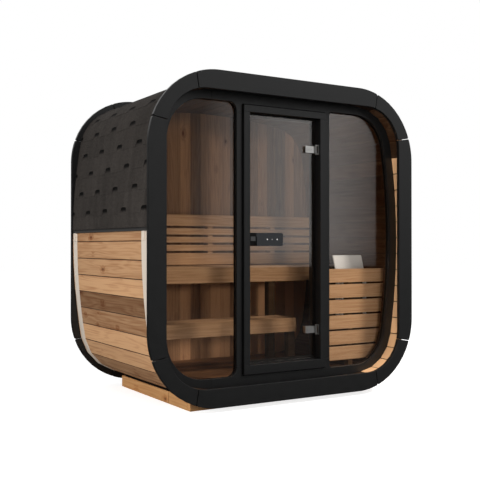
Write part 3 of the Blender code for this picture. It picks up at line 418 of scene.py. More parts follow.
def brushed_steel(name, colour, roughness, metallic):
    """Steel with a drawn grain that smears highlights; a less metallic one looks pale and dull."""
    made, tree = new_material(name)
    place = add(tree, "ShaderNodeTexCoord").outputs["Object"]
    upright = (900.0, 900.0, 20.0)
    drawn = add(tree, "ShaderNodeVectorMath", {0: place, 1: upright}, operation="MULTIPLY").outputs[0]
    grain = add(tree, "ShaderNodeTexNoise", {"Vector": drawn, "Scale": 1.0, "Detail": 2.0}).outputs["Fac"]
    either_side = {"Value": grain, "To Min": roughness - 0.08, "To Max": roughness + 0.08}
    rough = add(tree, "ShaderNodeMapRange", either_side).outputs["Result"]
    surface = {"Base Color": (*colour, 1.0), "Metallic": metallic, "Roughness": rough}
    shader = add(tree, "ShaderNodeBsdfPrincipled", surface)
    add(tree, "ShaderNodeOutputMaterial", {"Surface": shader.outputs[0]})
    return made


def coated_sheet():
    """Folded sheet steel with a dark brown coating, semi-matt."""
    made, tree = new_material("coated_sheet_steel")
    surface = {"Base Color": srgb("1A1816"), "Roughness": 0.5, "Specular IOR Level": 0.3}
    shader = add(tree, "ShaderNodeBsdfPrincipled", surface)
    add(tree, "ShaderNodeOutputMaterial", {"Surface": shader.outputs[0]})
    return made


def black_rubber():
    """Moulded rubber: dull black, laid where it paints shade and reads as a gap."""
    made, tree = new_material("black_rubber")
    surface = {"Base Color": srgb("0C0B0B"), "Roughness": 0.8, "Specular IOR Level": 0.2}
    shader = add(tree, "ShaderNodeBsdfPrincipled", surface)
    add(tree, "ShaderNodeOutputMaterial", {"Surface": shader.outputs[0]})
    return made


def bronze_glass():
    """Toughened float glass with a bronze body tint: clear straight through, a faint mirror at a glance."""
    made, tree = new_material("bronze_float_glass")
    tint = add(tree, "ShaderNodeBsdfTransparent", {"Color": (*colours().glass, 1.0)}).outputs[0]
    gloss = add(tree, "ShaderNodeBsdfGlossy", {"Color": srgb("FFFFFF"), "Roughness": 0.0}).outputs[0]
    # A ray leaves the pane as steeply as it came in, so its far face mirrors like its near face
    behind = add(tree, "ShaderNodeNewGeometry").outputs["Backfacing"]
    index = 1.5
    bend = add(tree, "ShaderNodeMapRange", {"Value": behind, "To Min": index, "To Max": 1 / index})
    fresnel = add(tree, "ShaderNodeFresnel", {"IOR": bend.outputs["Result"]}).outputs["Fac"]
    mixed = add(tree, "ShaderNodeMixShader", {0: fresnel, 1: tint, 2: gloss}).outputs[0]
    add(tree, "ShaderNodeOutputMaterial", {"Surface": mixed})
    return made


def moulded_plastic():
    """Moulded black plastic, satin, with a fine spark-eroded texture."""
    made, tree = new_material("moulded_black_plastic")
    place = add(tree, "ShaderNodeTexCoord").outputs["Object"]
    pits = add(tree, "ShaderNodeTexNoise", {"Vector": place, "Scale": 1200.0}).outputs["Fac"]
    relief = {"Height": pits, "Strength": 0.2, "Distance": 0.0002}
    bump = add(tree, "ShaderNodeBump", relief).outputs["Normal"]
    black = (*colours().plastic, 1.0)
    surface = {"Base Color": black, "Roughness": 0.42, "Specular IOR Level": 0.4, "Normal": bump}
    shader = add(tree, "ShaderNodeBsdfPrincipled", surface)
    add(tree, "ShaderNodeOutputMaterial", {"Surface": shader.outputs[0]})
    return made


def olivine_stone():
    """Split stove stone: dull dark grey with lighter grains."""
    made, tree = new_material("olivine_stone")
    place = add(tree, "ShaderNodeTexCoord").outputs["Object"]
    grains = add(tree, "ShaderNodeTexNoise", {"Vector": place, "Scale": 90.0, "Detail": 6.0}).outputs["Fac"]
    greys = {0: grains, 6: srgb("3A3A38"), 7: srgb("7A7A75")}
    shade = add(tree, "ShaderNodeMix", greys, data_type="RGBA").outputs[2]
    relief = {"Height": grains, "Strength": 0.6, "Distance": 0.002}
    bump = add(tree, "ShaderNodeBump", relief).outputs["Normal"]
    shader = add(tree, "ShaderNodeBsdfPrincipled", {"Base Color": shade, "Roughness": 0.85, "Normal": bump})
    add(tree, "ShaderNodeOutputMaterial", {"Surface": shader.outputs[0]})
    return made


def wood_for(kind, along):
    """The spruce of one kind of board, with its grain along one axis; made once."""
    name = f"{kind}_spruce_along_{along.lower()}"
    if name in bpy.data.materials:
        return bpy.data.materials[name]
    early, late = {
        "oiled": (colours().stave, colours().stave_late),
        "bare": (colours().base, colours().base_late),
        "lining": (colours().lining, colours().lining_late),
        "bench": (colours().bench, colours().bench_late),
        "floor": (colours().floor, colours().floor_late),
    }[kind]
    return board_wood(name, early, late, along, 0.0 if kind == "bench" else 1.0)


def once(name, maker, *given):
    """The material of this name, made if it isn't there yet."""
    return bpy.data.materials.get(name) or maker(*given)


def steel(name):
    """One of the cabin's steels, by what was done to it: colour, roughness and how metallic it looks."""
    looks = {
        # Hinges, ground fine: soft highlights
        "satin_stainless": (colours().steel, 0.32, 1.0),
        # Studs, polished: small bright highlights
        "polished_stainless": (colours().steel, 0.14, 1.0),
        # Latch bolt, as cast: grey
        "dull_stainless": (colours().dull_steel, 0.45, 1.0),
        # Stove panel and guard angles, blasted: pale and even, a nearly white colour that also paints their
        # bright reflection
        "bead_blasted_stainless": (colours().pale_steel, 0.36, 0.08),
        # Stove casing: nearly black, as such a stove's body is, and so also the painted shade seen through
        # the guard's gaps
        "heat_darkened_steel": (colours().dark_steel, 0.5, 0.5),
        # Straps: dull and nearly white, a pale colour that paints the bright reflection of their steel
        "pickled_steel_band": (colours().strap, 0.6, 0.2),
    }
    return once(name, brushed_steel, name, *looks[name])


# Shapes


def barrel_form():
    """Corner centre and tangent angle of the barrel's section, and half a side's and a corner's length."""
    lean = BARREL_HALF - SIDE_RADIUS
    reach = SIDE_RADIUS - CORNER_RADIUS
    centre = (lean + math.sqrt(2 * reach**2 - lean**2)) / 2
    angle = math.atan2(centre, centre - lean)
    return centre, angle, SIDE_RADIUS * angle, CORNER_RADIUS * (math.pi / 2 - 2 * angle)


def quarter_girth():
    _, _, side, corner = barrel_form()
    return 2 * side + corner


def skin(travel, height=0.0):
    """(X, Z) this far clockwise from the middle of the left side, and this far off the barrel's curve."""
    centre, angle, side, _ = barrel_form()
    turns, rest = divmod(travel + side, quarter_girth())
    rest -= side
    if rest <= side:
        turned = rest / SIDE_RADIUS
        x = BARREL_HALF - SIDE_RADIUS + (SIDE_RADIUS + height) * math.cos(turned)
        z = (SIDE_RADIUS + height) * math.sin(turned)
    else:
        turned = angle + (rest - side) / CORNER_RADIUS
        x = centre + (CORNER_RADIUS + height) * math.cos(turned)
        z = centre + (CORNER_RADIUS + height) * math.sin(turned)
    for _ in range(int(turns) % 4):
        x, z = -z, x
    return -x, MID_Z + z


def stave_travel(index):
    return STAVE_PHASE + 4 * quarter_girth() * index / STAVES


def clip(points, axis, limit, keep_above):
    """The part of an outline on one side of a straight line along an axis."""
    side = 1.0 if keep_above else -1.0
    kept = []
    for here, there in zip(points, points[1:] + points[:1]):
        a = side * (here[axis] - limit)
        b = side * (there[axis] - limit)
        if a >= 0:
            kept.append(here)
        if a * b < 0:
            share = a / (a - b)
            kept.append(tuple(p + (q - p) * share for p, q in zip(here, there)))
    return kept


def room_outline():
    """Inside of the staves, seen from the front."""
    inset = sizes().wall + LINING_CLEAR
    return [skin(stave_travel(index), -inset) for index in range(STAVES)]


def prism(shape, ring, direction):
    """Adds a closed solid: a ring of points and the same ring moved by a vector."""
    near = [shape.verts.new(point) for point in ring]
    far = [shape.verts.new(Vector(point) + Vector(direction)) for point in ring]
    faces = [shape.faces.new(near), shape.faces.new(far[::-1])]
    for index in range(len(ring)):
        after = (index + 1) % len(ring)
        faces.append(shape.faces.new((near[after], near[index], far[index], far[after])))
    return faces


def box(shape, low, high, start=(0.0, 0.0, 0.0)):
    """Adds a closed box between two corners, measured from a start."""
    left, front, foot = (place + step for place, step in zip(start, low))
    right, rear, top = (place + step for place, step in zip(start, high))
    ring = [(left, front, foot), (right, front, foot), (right, front, top), (left, front, top)]
    return prism(shape, ring, (0.0, rear - front, 0.0))


def all_of(shape):
    return [*shape.verts, *shape.edges, *shape.faces]


def score(shape, place, across):
    """Divides the faces that a plane crosses."""
    bmesh.ops.bisect_plane(shape, geom=all_of(shape), plane_co=place, plane_no=across)


def cut_off(shape, place, away, within=0.0):
    """Takes off what lies past a plane and closes the cut; a point this near the plane counts as on it."""
    split = bmesh.ops.bisect_plane(
        shape, geom=all_of(shape), dist=within, plane_co=place, plane_no=away, clear_outer=True
    )
    rim = [part for part in split["geom_cut"] if isinstance(part, bmesh.types.BMEdge)]
    bmesh.ops.holes_fill(shape, edges=rim)


def join(shape, other):
    """Adds another shape to a shape."""
    held = bpy.data.meshes.new("held")
    other.to_mesh(held)
    other.free()
    shape.from_mesh(held)
    bpy.data.meshes.remove(held)


def give_tones(shape, groups, seed):
    """Gives the faces of each board one random tone and one random shift of its grain."""
    draw = random.Random(seed)
    shape.faces.index_update()
    numbers = [[face.index for face in faces] for faces in groups]
    tone = shape.faces.layers.float.new("tone")
    shift = shape.faces.layers.float_vector.new("shift")
    shape.faces.ensure_lookup_table()
    for faces in numbers:
        level = draw.random()
        moved = Vector((draw.uniform(0, 9), draw.uniform(0, 9), draw.uniform(0, 9)))
        for index in faces:
            shape.faces[index][tone] = level
            shape.faces[index][shift] = moved


def soften(shape, width, above=30.0, segments=2):
    """Rounds every edge that turns more than an angle."""
    shape.normal_update()
    sharp = [e for e in shape.edges if e.is_manifold and e.calc_face_angle(0.0) > math.radians(above)]
    if sharp and width > 0:
        bmesh.ops.bevel(
            shape, geom=sharp, offset=width, offset_type="OFFSET", segments=segments, profile=0.5,
            affect="EDGES", clamp_overlap=True,
        )


def finished(name, shape, finish, body, replaced=(), smooth_below=35.0):
    """Turns a shape into a piece of the cabin that rides on a body and takes a finish."""
    mesh = bpy.data.meshes.new(name)
    bmesh.ops.recalc_face_normals(shape, faces=shape.faces)
    shape.to_mesh(mesh)
    shape.free()
    mesh.shade_smooth()
    mesh.set_sharp_from_angle(angle=math.radians(smooth_below))
    mesh.materials.clear()
    mesh.materials.append(finish)
    made = bpy.data.objects.new(name, mesh)
    bpy.context.scene.collection.objects.link(made)
    evener = made.modifiers.new("even_normals", "WEIGHTED_NORMAL")
    evener.keep_sharp = True
    graph = bpy.context.evaluated_depsgraph_get()
    even = bpy.data.meshes.new_from_object(
        made.evaluated_get(graph), preserve_all_data_layers=True, depsgraph=graph
    )
    made.modifiers.remove(evener)
    made.data = even
    bpy.data.meshes.remove(mesh)
    even.name = name
    bpy.context.view_layer.update()
    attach(made, body)
    if replaced:
        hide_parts(*replaced)
    return made


def from_frame(node):
    """A frame node's shape with its loose triangles merged and its flat faces joined."""
    same_point = 0.00002
    flat = math.radians(0.4)
    shape = bmesh.new()
    shape.from_mesh(frame["nodes"][node].data)
    bmesh.ops.remove_doubles(shape, verts=shape.verts, dist=same_point)
    bmesh.ops.dissolve_limit(
        shape, angle_limit=flat, verts=shape.verts, edges=shape.edges, use_dissolve_boundaries=False
    )
    return shape


def dress(node, finish, edge, name=None, smooth_below=35.0):
    """A frame node with rounded edges and its finish, standing for the plain one."""
    shape = from_frame(node)
    soften(shape, edge)
    return finished(name or f"{node}_board", shape, finish, BODY_OF[node], (node,), smooth_below)


def laying_tree():
    """Geometry Nodes that lay copies of a piece on points, turned as each point says, each in one tone."""
    tree = bpy.data.node_groups.get("lay_copies")
    if tree:
        return tree
    tree = bpy.data.node_groups.new("lay_copies", "GeometryNodeTree")
    for name, kind in (
        ("Points", "NodeSocketGeometry"),
        ("Piece", "NodeSocketObject"),
        ("Finish", "NodeSocketMaterial"),
        ("Seed", "NodeSocketInt"),
    ):
        tree.interface.new_socket(name=name, in_out="INPUT", socket_type=kind)
    tree.interface.new_socket(name="Laid", in_out="OUTPUT", socket_type="NodeSocketGeometry")
    given = add(tree, "NodeGroupInput").outputs
    level = add(tree, "FunctionNodeRandomValue", {"Seed": given["Seed"]}, data_type="FLOAT").outputs[1]
    marked = {"Geometry": given["Points"], "Name": "tone", "Value": level}
    toned = add(
        tree, "GeometryNodeStoreNamedAttribute", marked, data_type="FLOAT", domain="POINT"
    ).outputs[0]
    turn = add(tree, "GeometryNodeInputNamedAttribute", {"Name": "turn"}, data_type="FLOAT_VECTOR").outputs[0]
    piece = add(tree, "GeometryNodeObjectInfo", {"Object": given["Piece"]}).outputs["Geometry"]
    laid_out = {"Points": toned, "Instance": piece, "Rotation": turn}
    copies = add(tree, "GeometryNodeInstanceOnPoints", laid_out).outputs[0]
    real = add(tree, "GeometryNodeRealizeInstances", {"Geometry": copies}).outputs[0]
    done = add(tree, "GeometryNodeSetMaterial", {"Geometry": real, "Material": given["Finish"]}).outputs[0]
    add(tree, "NodeGroupOutput", {"Laid": done})
    return tree


def laid(piece, places, finish, seed):
    """Mesh of a piece's copies at (point, turn) places, as the laying tree makes them."""
    piece_mesh = bpy.data.meshes.new("copied_piece")
    piece.to_mesh(piece_mesh)
    piece.free()
    copied = bpy.data.objects.new("copied_piece", piece_mesh)
    points = bpy.data.meshes.new("points")
    points.from_pydata([point for point, _ in places], [], [])
    turns = points.attributes.new("turn", "FLOAT_VECTOR", "POINT")
    for slot, (_, turn) in zip(turns.data, places):
        slot.vector = turn
    holder = bpy.data.objects.new("points", points)
    for helper in (copied, holder):
        bpy.context.scene.collection.objects.link(helper)
    modifier = holder.modifiers.new("lay_copies", "NODES")
    tree = laying_tree()
    modifier.node_group = tree
    given = {"Piece": copied, "Finish": finish, "Seed": seed}
    for item in tree.interface.items_tree:
        if item.item_type == "SOCKET" and item.in_out == "INPUT" and item.name in given:
            modifier[item.identifier] = given[item.name]
    bpy.context.view_layer.update()
    graph = bpy.context.evaluated_depsgraph_get()
    mesh = bpy.data.meshes.new_from_object(holder.evaluated_get(graph))
    holder.modifiers.remove(modifier)
    for helper in (copied, holder):
        bpy.data.objects.remove(helper)
    shape = bmesh.new()
    shape.from_mesh(mesh)
    bpy.data.meshes.remove(mesh)
    return shape


# Pieces


def left_middle(row):
    """Travel of the middle of a row of staves on the left side, counted from the one at the eave down."""
    pitch = 4 * quarter_girth() / STAVES
    eave = SIDE_RADIUS * math.asin((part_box("left_drip_edge")[0][2] - MID_Z) / SIDE_RADIUS)
    first = math.floor((eave - STAVE_PHASE) / pitch)
    return STAVE_PHASE + (first - row + 0.5) * pitch


class CABIN_OT_staves(bpy.types.Operator):
    """Lay up the barrel from single staves"""

    bl_idname = "cabin.staves"
    bl_label = "Staves"

    def shade(self, shape, on_left):
        """Darkens the joints, paints shade on the inner side and light in the reveal, and gives the left
        boards the tones that show.
        """
        near_row = 0.03
        chamfer_width = 0.006
        tone = shape.faces.layers.float["tone"]
        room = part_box("front_wall_top")[1][1]
        heights = [skin(left_middle(row))[1] for row in range(len(LEFT_TONES))]
        score(shape, (0, room, 0), (0, 1, 0))
        bmesh.ops.recalc_face_normals(shape, faces=shape.faces)
        for face in shape.faces:
            centre = face.calc_center_median()
            outward = face.normal.dot(Vector((centre.x, 0, centre.z - MID_Z)).normalized())
            narrow = min(edge.calc_length() for edge in face.edges) < chamfer_width
            is_outer, is_inner = outward > 0.8, outward < -0.6
            is_joint = abs(face.normal.y) < 0.5 and (abs(outward) < 0.6 or narrow)
            if on_left and is_outer:
                offset, row_tone = min((abs(z - centre.z), level) for z, level in zip(heights, LEFT_TONES))
                if offset < near_row:
                    face[tone] = row_tone
            if is_joint:
                face[tone] = JOINT_TONE
            elif is_inner:
                # Painted shade in the room and in front of the front wall, painted light in the reveal at the
                # right
                if centre.y > room:
                    added = ROOM_TONE
                elif centre.x >= REVEAL_LEFT and centre.z <= REVEAL_TOP:
                    added = REVEAL_TONE
                else:
                    added = PORCH_TONE
                face[tone] = INNER_SHARE * face[tone] + added

    def execute(self, context):
        edge = sizes().stave_gap / 2
        chamfer, wall = sizes().stave_chamfer, sizes().wall
        deep = chamfer - wall
        length = SHELL_REAR - SHELL_FRONT
        finish = wood_for("oiled", "Y")
        _, _, side, corner = barrel_form()
        quarter = quarter_girth()
        half = 2 * quarter
        starts = [-side - corner, side, half - side - corner, half + side, 2 * half - side - corner]
        pitch = 4 * quarter / STAVES
        joints = [round((start - STAVE_PHASE) / pitch) for start in starts]
        for seed, (shell, first, last) in enumerate(zip(SHELLS, joints, joints[1:])):
            shape = bmesh.new()
            boards = []
            for index in range(first, last):
                near, far = stave_travel(index) + edge, stave_travel(index + 1) - edge
                outer = [(near, -chamfer), (near + chamfer, 0.0), (far - chamfer, 0.0), (far, -chamfer)]
                inner = [(far, deep), (far - chamfer, -wall), (near + chamfer, -wall), (near, deep)]
                section = [skin(travel, height) for travel, height in outer + inner]
                ring = [(x, SHELL_FRONT, z) for x, z in section]
                boards.append(prism(shape, ring, (0.0, length, 0.0)))
            give_tones(shape, boards, seed)
            self.shade(shape, seed == 0)
            finished(f"{shell}_staves", shape, finish, "cabin", (shell,), 20.0)
        return {"FINISHED"}


def shingle_tab(width, open_height, notch_width, notch_height):
    """One tab lying flat: X up the slope, Y along the eave, thin, notched at both lower corners."""
    height = open_height + TAB_OVERLAP
    seen, hidden = (open_height + above for above in TAB_FADE)
    half = notch_width / 2
    notch_steps, seen_steps = 5, 4
    notch = [half * k / notch_steps for k in range(notch_steps + 1)] if half else [0.0]
    plain = [half + (width - 2 * half) * k / 3 for k in (1, 2)]
    columns = [*notch, *plain, *(width - y for y in reversed(notch))]
    shape = bmesh.new()
    covered = shape.verts.layers.float.new("covered")
    layers = []
    for lift in (sizes().shingle, 0.0):
        grid = []
        for y in columns:
            out = min(y, width - y)
            # Each notch is a quarter of a squarish oval
            low = notch_height * (max(0.0, 1 - (out / half) ** 4)) ** 0.25 if half and out < half else 0.0
            marks = [low + (seen - low) * k / seen_steps for k in range(seen_steps + 1)] + [hidden, height]
            slope = [TAB_RISE + (TAB_FALL - TAB_RISE) * x / height + lift for x in marks]
            grid.append([shape.verts.new((x, y, z)) for x, z in zip(marks, slope)])
            # What the next course covers is drawn nearly black, the painted shadow in the notches
            for vertex in grid[-1][seen_steps + 1 :]:
                vertex[covered] = 1.0
        layers.append(grid)
    top, under = layers
    last = len(columns) - 1
    rows = len(top[0]) - 1
    for i in range(last):
        for j in range(rows):
            shape.faces.new((top[i][j], top[i][j + 1], top[i + 1][j + 1], top[i + 1][j]))
            shape.faces.new((under[i][j], under[i + 1][j], under[i + 1][j + 1], under[i][j + 1]))
        for j in (0, rows):
            shape.faces.new((top[i][j], top[i + 1][j], under[i + 1][j], under[i][j]))
    for j in range(rows):
        for i in (0, last):
            shape.faces.new((top[i][j], under[i][j], under[i][j + 1], top[i][j + 1]))
    bmesh.ops.recalc_face_normals(shape, faces=shape.faces)
    return shape


class CABIN_OT_roofing(bpy.types.Operator):
    """Lay the shingle courses from both eaves to the ridge"""

    bl_idname = "cabin.roofing"
    bl_label = "Shingle roofing"

    def execute(self, context):
        cut = sizes()
        finish = once("mineral_granules_on_bitumen", mineral_granules)
        eave_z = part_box("left_drip_edge")[1][2]
        eave = SIDE_RADIUS * math.asin((eave_z - MID_Z) / SIDE_RADIUS)
        ridge = quarter_girth()
        courses = round((ridge - eave - cut.first_course) / cut.course)
        step = (ridge - eave - cut.first_course) / courses
        length = SHELL_REAR - SHELL_FRONT
        half_turn = (0.0, 0.0, math.pi)
        upright = (0.0, 0.0, 0.0)
        starters, tabs = [], []
        across = math.ceil(length / cut.tab_width) + 2
        for course in range(courses + 1):
            low = eave if course == 0 else eave + cut.first_course + step * (course - 1)
            stagger = NOTCH_PHASE + (cut.tab_width / 2 if course % 2 == 0 else 0.0)
            for tab in range(-1, across):
                y = SHELL_FRONT + stagger + (tab - 1) * cut.tab_width
                kind = starters if course == 0 else tabs
                kind.append(((low, y, 0.0), upright))
                kind.append(((2 * ridge - low, y + cut.tab_width, 0.0), half_turn))
        plain = shingle_tab(cut.tab_width - TAB_JOINT, cut.first_course, 0.0, 0.0)
        notched = shingle_tab(cut.tab_width - TAB_JOINT, step, cut.notch_width, cut.notch_height)
        shape = laid(plain, starters, finish, seed=3)
        join(shape, laid(notched, tabs, finish, seed=7))
        for y, outward in ((SHELL_FRONT, -1), (SHELL_REAR, 1)):
            cut_off(shape, (0, y, 0), (0, outward, 0), within=0.00001)
        for vertex in shape.verts:
            x, z = skin(vertex.co.x, ROOF_CLEAR + vertex.co.z)
            vertex.co = (x, vertex.co.y, z)
        finished("shingle_courses", shape, finish, "cabin", ("shingle_roofing",), 25.0)
        sheet = once("coated_sheet_steel", coated_sheet)
        for side in ("left", "right"):
            dress(f"{side}_drip_edge", sheet, 0.0, f"{side}_drip_sheet")
        return {"FINISHED"}


class CABIN_OT_trims(bpy.types.Operator):
    """Finish the painted boards round both ends"""

    bl_idname = "cabin.trims"
    bl_label = "End trims"

    def execute(self, context):
        paint = once("black_painted_spruce", black_paint)
        for end in ("front", "rear"):
            for side in TRIM_BOARDS:
                dress(f"{end}_trim_{side}", paint, sizes().board_edge)
        return {"FINISHED"}


class CABIN_OT_straps(bpy.types.Operator):
    """Finish the steel straps round the barrel"""

    bl_idname = "cabin.straps"
    bl_label = "Straps"

    def execute(self, context):
        for end in ("front", "rear"):
            dress(f"{end}_strap", steel("pickled_steel_band"), 0.0, f"{end}_steel_strap")
        return {"FINISHED"}


class CABIN_OT_base(bpy.types.Operator):
    """Finish the timber base"""

    bl_idname = "cabin.base"
    bl_label = "Base"

    def under(self, x):
        """Height of the barrel's underside, just clear of the staves."""
        return MID_Z - (BARREL_HALF - SIDE_RADIUS + math.sqrt(SIDE_RADIUS**2 - x**2)) - PACKING_CLEAR

    def saw(self, shape):
        """Parts a rail in two lengths that meet in an open joint."""
        other = shape.copy()
        for length, away in ((shape, 1), (other, -1)):
            cut_off(length, (0, RAIL_JOINT - away * SAW_CUT / 2, 0), (0, away, 0))
        join(shape, other)

    def execute(self, context):
        rubber = once("black_rubber", black_rubber)
        for end in ("front", "rear"):
            node = f"{end}_cradle"
            shape = from_frame(node)
            soften(shape, BEAM_EDGE)
            tone = shape.faces.layers.float.new("tone")
            # The cradles' front faces get a painted shadow
            for face in shape.faces:
                face[tone] = CRADLE_FRONT_TONE if face.normal.y < -0.9 else 0.0
            finished(f"{node}_beam", shape, wood_for("bare", "X"), "cabin", (node,))
        for side, outward in (("left", -1), ("right", 1)):
            node = f"{side}_base_rail"
            shape = from_frame(node)
            self.saw(shape)
            soften(shape, BEAM_EDGE)
            finished(f"{side}_base_beam", shape, wood_for("bare", "Y"), "cabin", (node,))
            low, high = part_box(node)
            outer, inner = (low[0], high[0]) if side == "left" else (high[0], low[0])
            outer -= outward * PACKING_OUTER
            inner += outward * PACKING_INNER
            foot = high[2] - PACKING_SUNK
            ring = [(outer, foot), (inner, foot), (inner, self.under(inner)), (outer, self.under(outer))]
            # A near-black strip that paints the shadow gap under the staves
            strip = bmesh.new()
            prism(strip, [(x, low[1], z) for x, z in ring], (0.0, high[1] - low[1], 0.0))
            finished(f"{side}_packing_strip", strip, rubber, "cabin")
        return {"FINISHED"}


class CABIN_OT_front_wall(bpy.types.Operator):
    """Finish the painted front wall and the door frame"""

    bl_idname = "cabin.front_wall"
    bl_label = "Front wall"

    def execute(self, context):
        paint = once("black_painted_spruce", black_paint)
        for side in ("top", "bottom", "left", "right"):
            dress(f"front_wall_{side}", paint, WALL_EDGE)
        for node in ("left_mullion", "right_mullion", "left_jamb", "right_jamb", "door_head", "door_sill"):
            dress(node, paint, FRAME_EDGE)
        return {"FINISHED"}


class CABIN_OT_glass(bpy.types.Operator):
    """Give the panes their tint and a ground edge"""

    bl_idname = "cabin.glass"
    bl_label = "Glass"

    def execute(self, context):
        glass = once("bronze_float_glass", bronze_glass)
        for node in ("left_window_glass", "right_window_glass", "door_glass"):
            dress(node, glass, PANE_EDGE, f"{node}_pane", smooth_below=1.0)
        return {"FINISHED"}


def screw_head(radius, height):
    """A low screw head, its face towards -Y and a little narrower than its foot."""
    taper = 0.86
    shape = bmesh.new()
    place = Matrix.Rotation(math.radians(90), 4, "X")
    bmesh.ops.create_cone(
        shape, cap_ends=True, segments=20, radius1=radius, radius2=radius * taper, depth=height, matrix=place
    )
    return shape


class CABIN_OT_door_fittings(bpy.types.Operator):
    """Finish the hinges and the handle"""

    bl_idname = "cabin.door_fittings"
    bl_label = "Door fittings"

    def screws(self, node, name, radius, height, out, reaches, finish):
        """Lays screw heads in a row along the middle of a fitting's front."""
        low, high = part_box(node)
        places = [((low[0] + reach, low[1] - out, (low[2] + high[2]) / 2), (0, 0, 0)) for reach in reaches]
        shape = laid(screw_head(radius, height), places, finish, seed=2)
        finished(f"{node}_{name}", shape, finish, "door")

    def execute(self, context):
        satin = steel("satin_stainless")
        for hinge in ("lower_hinge", "upper_hinge"):
            dress(f"{hinge}_clamp", satin, CLAMP_EDGE, f"{hinge}_clamp_body")
            dress(f"{hinge}_plate", satin, PLATE_EDGE, f"{hinge}_fixed_plate")
            radius, height, out = CLAMP_SCREW
            self.screws(f"{hinge}_clamp", "screws", radius, height, out, CLAMP_SCREW_PLACES, satin)
        plastic = once("moulded_black_plastic", moulded_plastic)
        dress("door_handle", plastic, INNER_EDGE, "door_handle_plate")
        for name, radius, places in HANDLE_STUDS:
            polished = steel("polished_stainless")
            self.screws("door_handle", name, radius, STUD_HEIGHT, STUD_OUT, places, polished)
        # Near-black rubber lines the notch in the plate's free end, round the latch's grey bolt, and also
        # paints the notch's shade
        rubber = once("black_rubber", black_rubber)
        for name, boxes, finish, slot in (
            ("latch_notch_lining", LATCH_LINING, rubber, "black_plastic"),
            ("latch_bolt", LATCH_BOLT, steel("dull_stainless"), "stainless"),
        ):
            shape = bmesh.new()
            for low, high in boxes:
                box(shape, low, high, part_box("door_handle")[0])
            finished(name, shape, finish, "door")
        return {"FINISHED"}


class CABIN_OT_lining(bpy.types.Operator):
    """Board the rear wall and the floor"""

    bl_idname = "cabin.lining"
    bl_label = "Rear wall and floor"

    def execute(self, context):
        self.rear_wall(room_outline())
        self.floor(room_outline())
        return {"FINISHED"}

    def rear_wall(self, outline):
        """Upright boards with painted shade on their inner faces above the bench, and painted light below it
        behind the door.
        """
        low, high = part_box("rear_wall")
        shape = bmesh.new()
        boards = []
        width = sizes().lining_width
        count = math.ceil((high[0] - low[0]) / width)
        start = -count * width / 2
        for index in range(count):
            left = start + index * width + LINING_JOINT / 2
            part = clip(clip(outline, 0, left, True), 0, left + width - LINING_JOINT, False)
            if len(part) > 2:
                ring = [(x, low[1], z) for x, z in part]
                boards.append(prism(shape, ring, (0.0, high[1] - low[1], 0.0)))
        give_tones(shape, boards, 11)
        soften(shape, INNER_EDGE, 40.0, 1)
        tone = shape.faces.layers.float["tone"]
        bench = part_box("upper_bench")[1][2] - LINING_CHANGE
        score(shape, (0, 0, bench), (0, 0, 1))
        for face in shape.faces:
            centre = face.calc_center_median()
            if centre.y >= low[1] + INNER_EDGE:
                continue
            # Painted shade above the bench, painted light below it behind the door
            if centre.z > bench:
                face[tone] += LINING_HIGH_TONE
            else:
                added = LINING_DOOR_TONE if centre.x > DOOR_PART else LINING_LOW_TONE
                face[tone] = added + LINING_CONTRAST * face[tone]
        wood = wood_for("lining", "Z")
        finished("rear_wall_boards", shape, wood, "cabin", ("rear_wall",), 20.0)

    def floor(self, outline):
        """Boards across the cabin."""
        low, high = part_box("floor")
        shape = bmesh.new()
        boards = []
        band = clip(clip(outline, 1, low[2], True), 1, high[2], False)
        count = round((high[1] - low[1]) / sizes().floor_board)
        pitch = (high[1] - low[1]) / count
        for index in range(count):
            front = low[1] + index * pitch + LINING_JOINT / 2
            ring = [(x, front, z) for x, z in band]
            boards.append(prism(shape, ring, (0.0, pitch - LINING_JOINT, 0.0)))
        give_tones(shape, boards, 12)
        soften(shape, INNER_EDGE, 40.0, 1)
        finished("floor_boards", shape, wood_for("floor", "X"), "cabin", ("floor",), 20.0)


class CABIN_OT_benches(bpy.types.Operator):
    """Finish the benches, the backrest and the stove's guard"""

    bl_idname = "cabin.benches"
    bl_label = "Benches and guard"

    def execute(self, context):
        wood = wood_for("bench", "X")
        for node in ("upper_bench", "lower_bench", "backrest", "heater_guard"):
            shape = from_frame(node)
            soften(shape, INNER_EDGE)
            tone = shape.faces.layers.float.new("tone")
            low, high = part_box(node)
            bench = node.endswith("bench")
            # Painted shadow on the bearers under the tops, painted shade on the benches' fronts and behind
            # the guard's face
            for face in shape.faces:
                centre = face.calc_center_median()
                face[tone] = BENCH_TONE
                if bench and centre.z <= high[2] - BENCH_BOARD_DEPTH:
                    face[tone] = BEARER_TONE
                elif bench and face.normal.y < -0.9:
                    face[tone] = BENCH_FRONT_TONE
                elif node == "heater_guard" and centre.y > low[1] + GUARD_FACE:
                    face[tone] = GUARD_BACK_TONE
            finished(f"{node}_boards", shape, wood, BODY_OF[node], (node,))
        # The edges of the steel angles show in the guard's upper gaps
        low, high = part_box("heater_guard")
        front, rear = low[1] + ANGLE_FRONT, high[1] - ANGLE_REAR
        foot, top = high[2] - ANGLE_FOOT, high[2] - ANGLE_TOP
        shape = bmesh.new()
        for x in GUARD_ANGLES:
            box(shape, (x, front, foot), (x + ANGLE_THICK, rear, top))
        finished("guard_angles", shape, steel("bead_blasted_stainless"), "cabin")
        return {"FINISHED"}


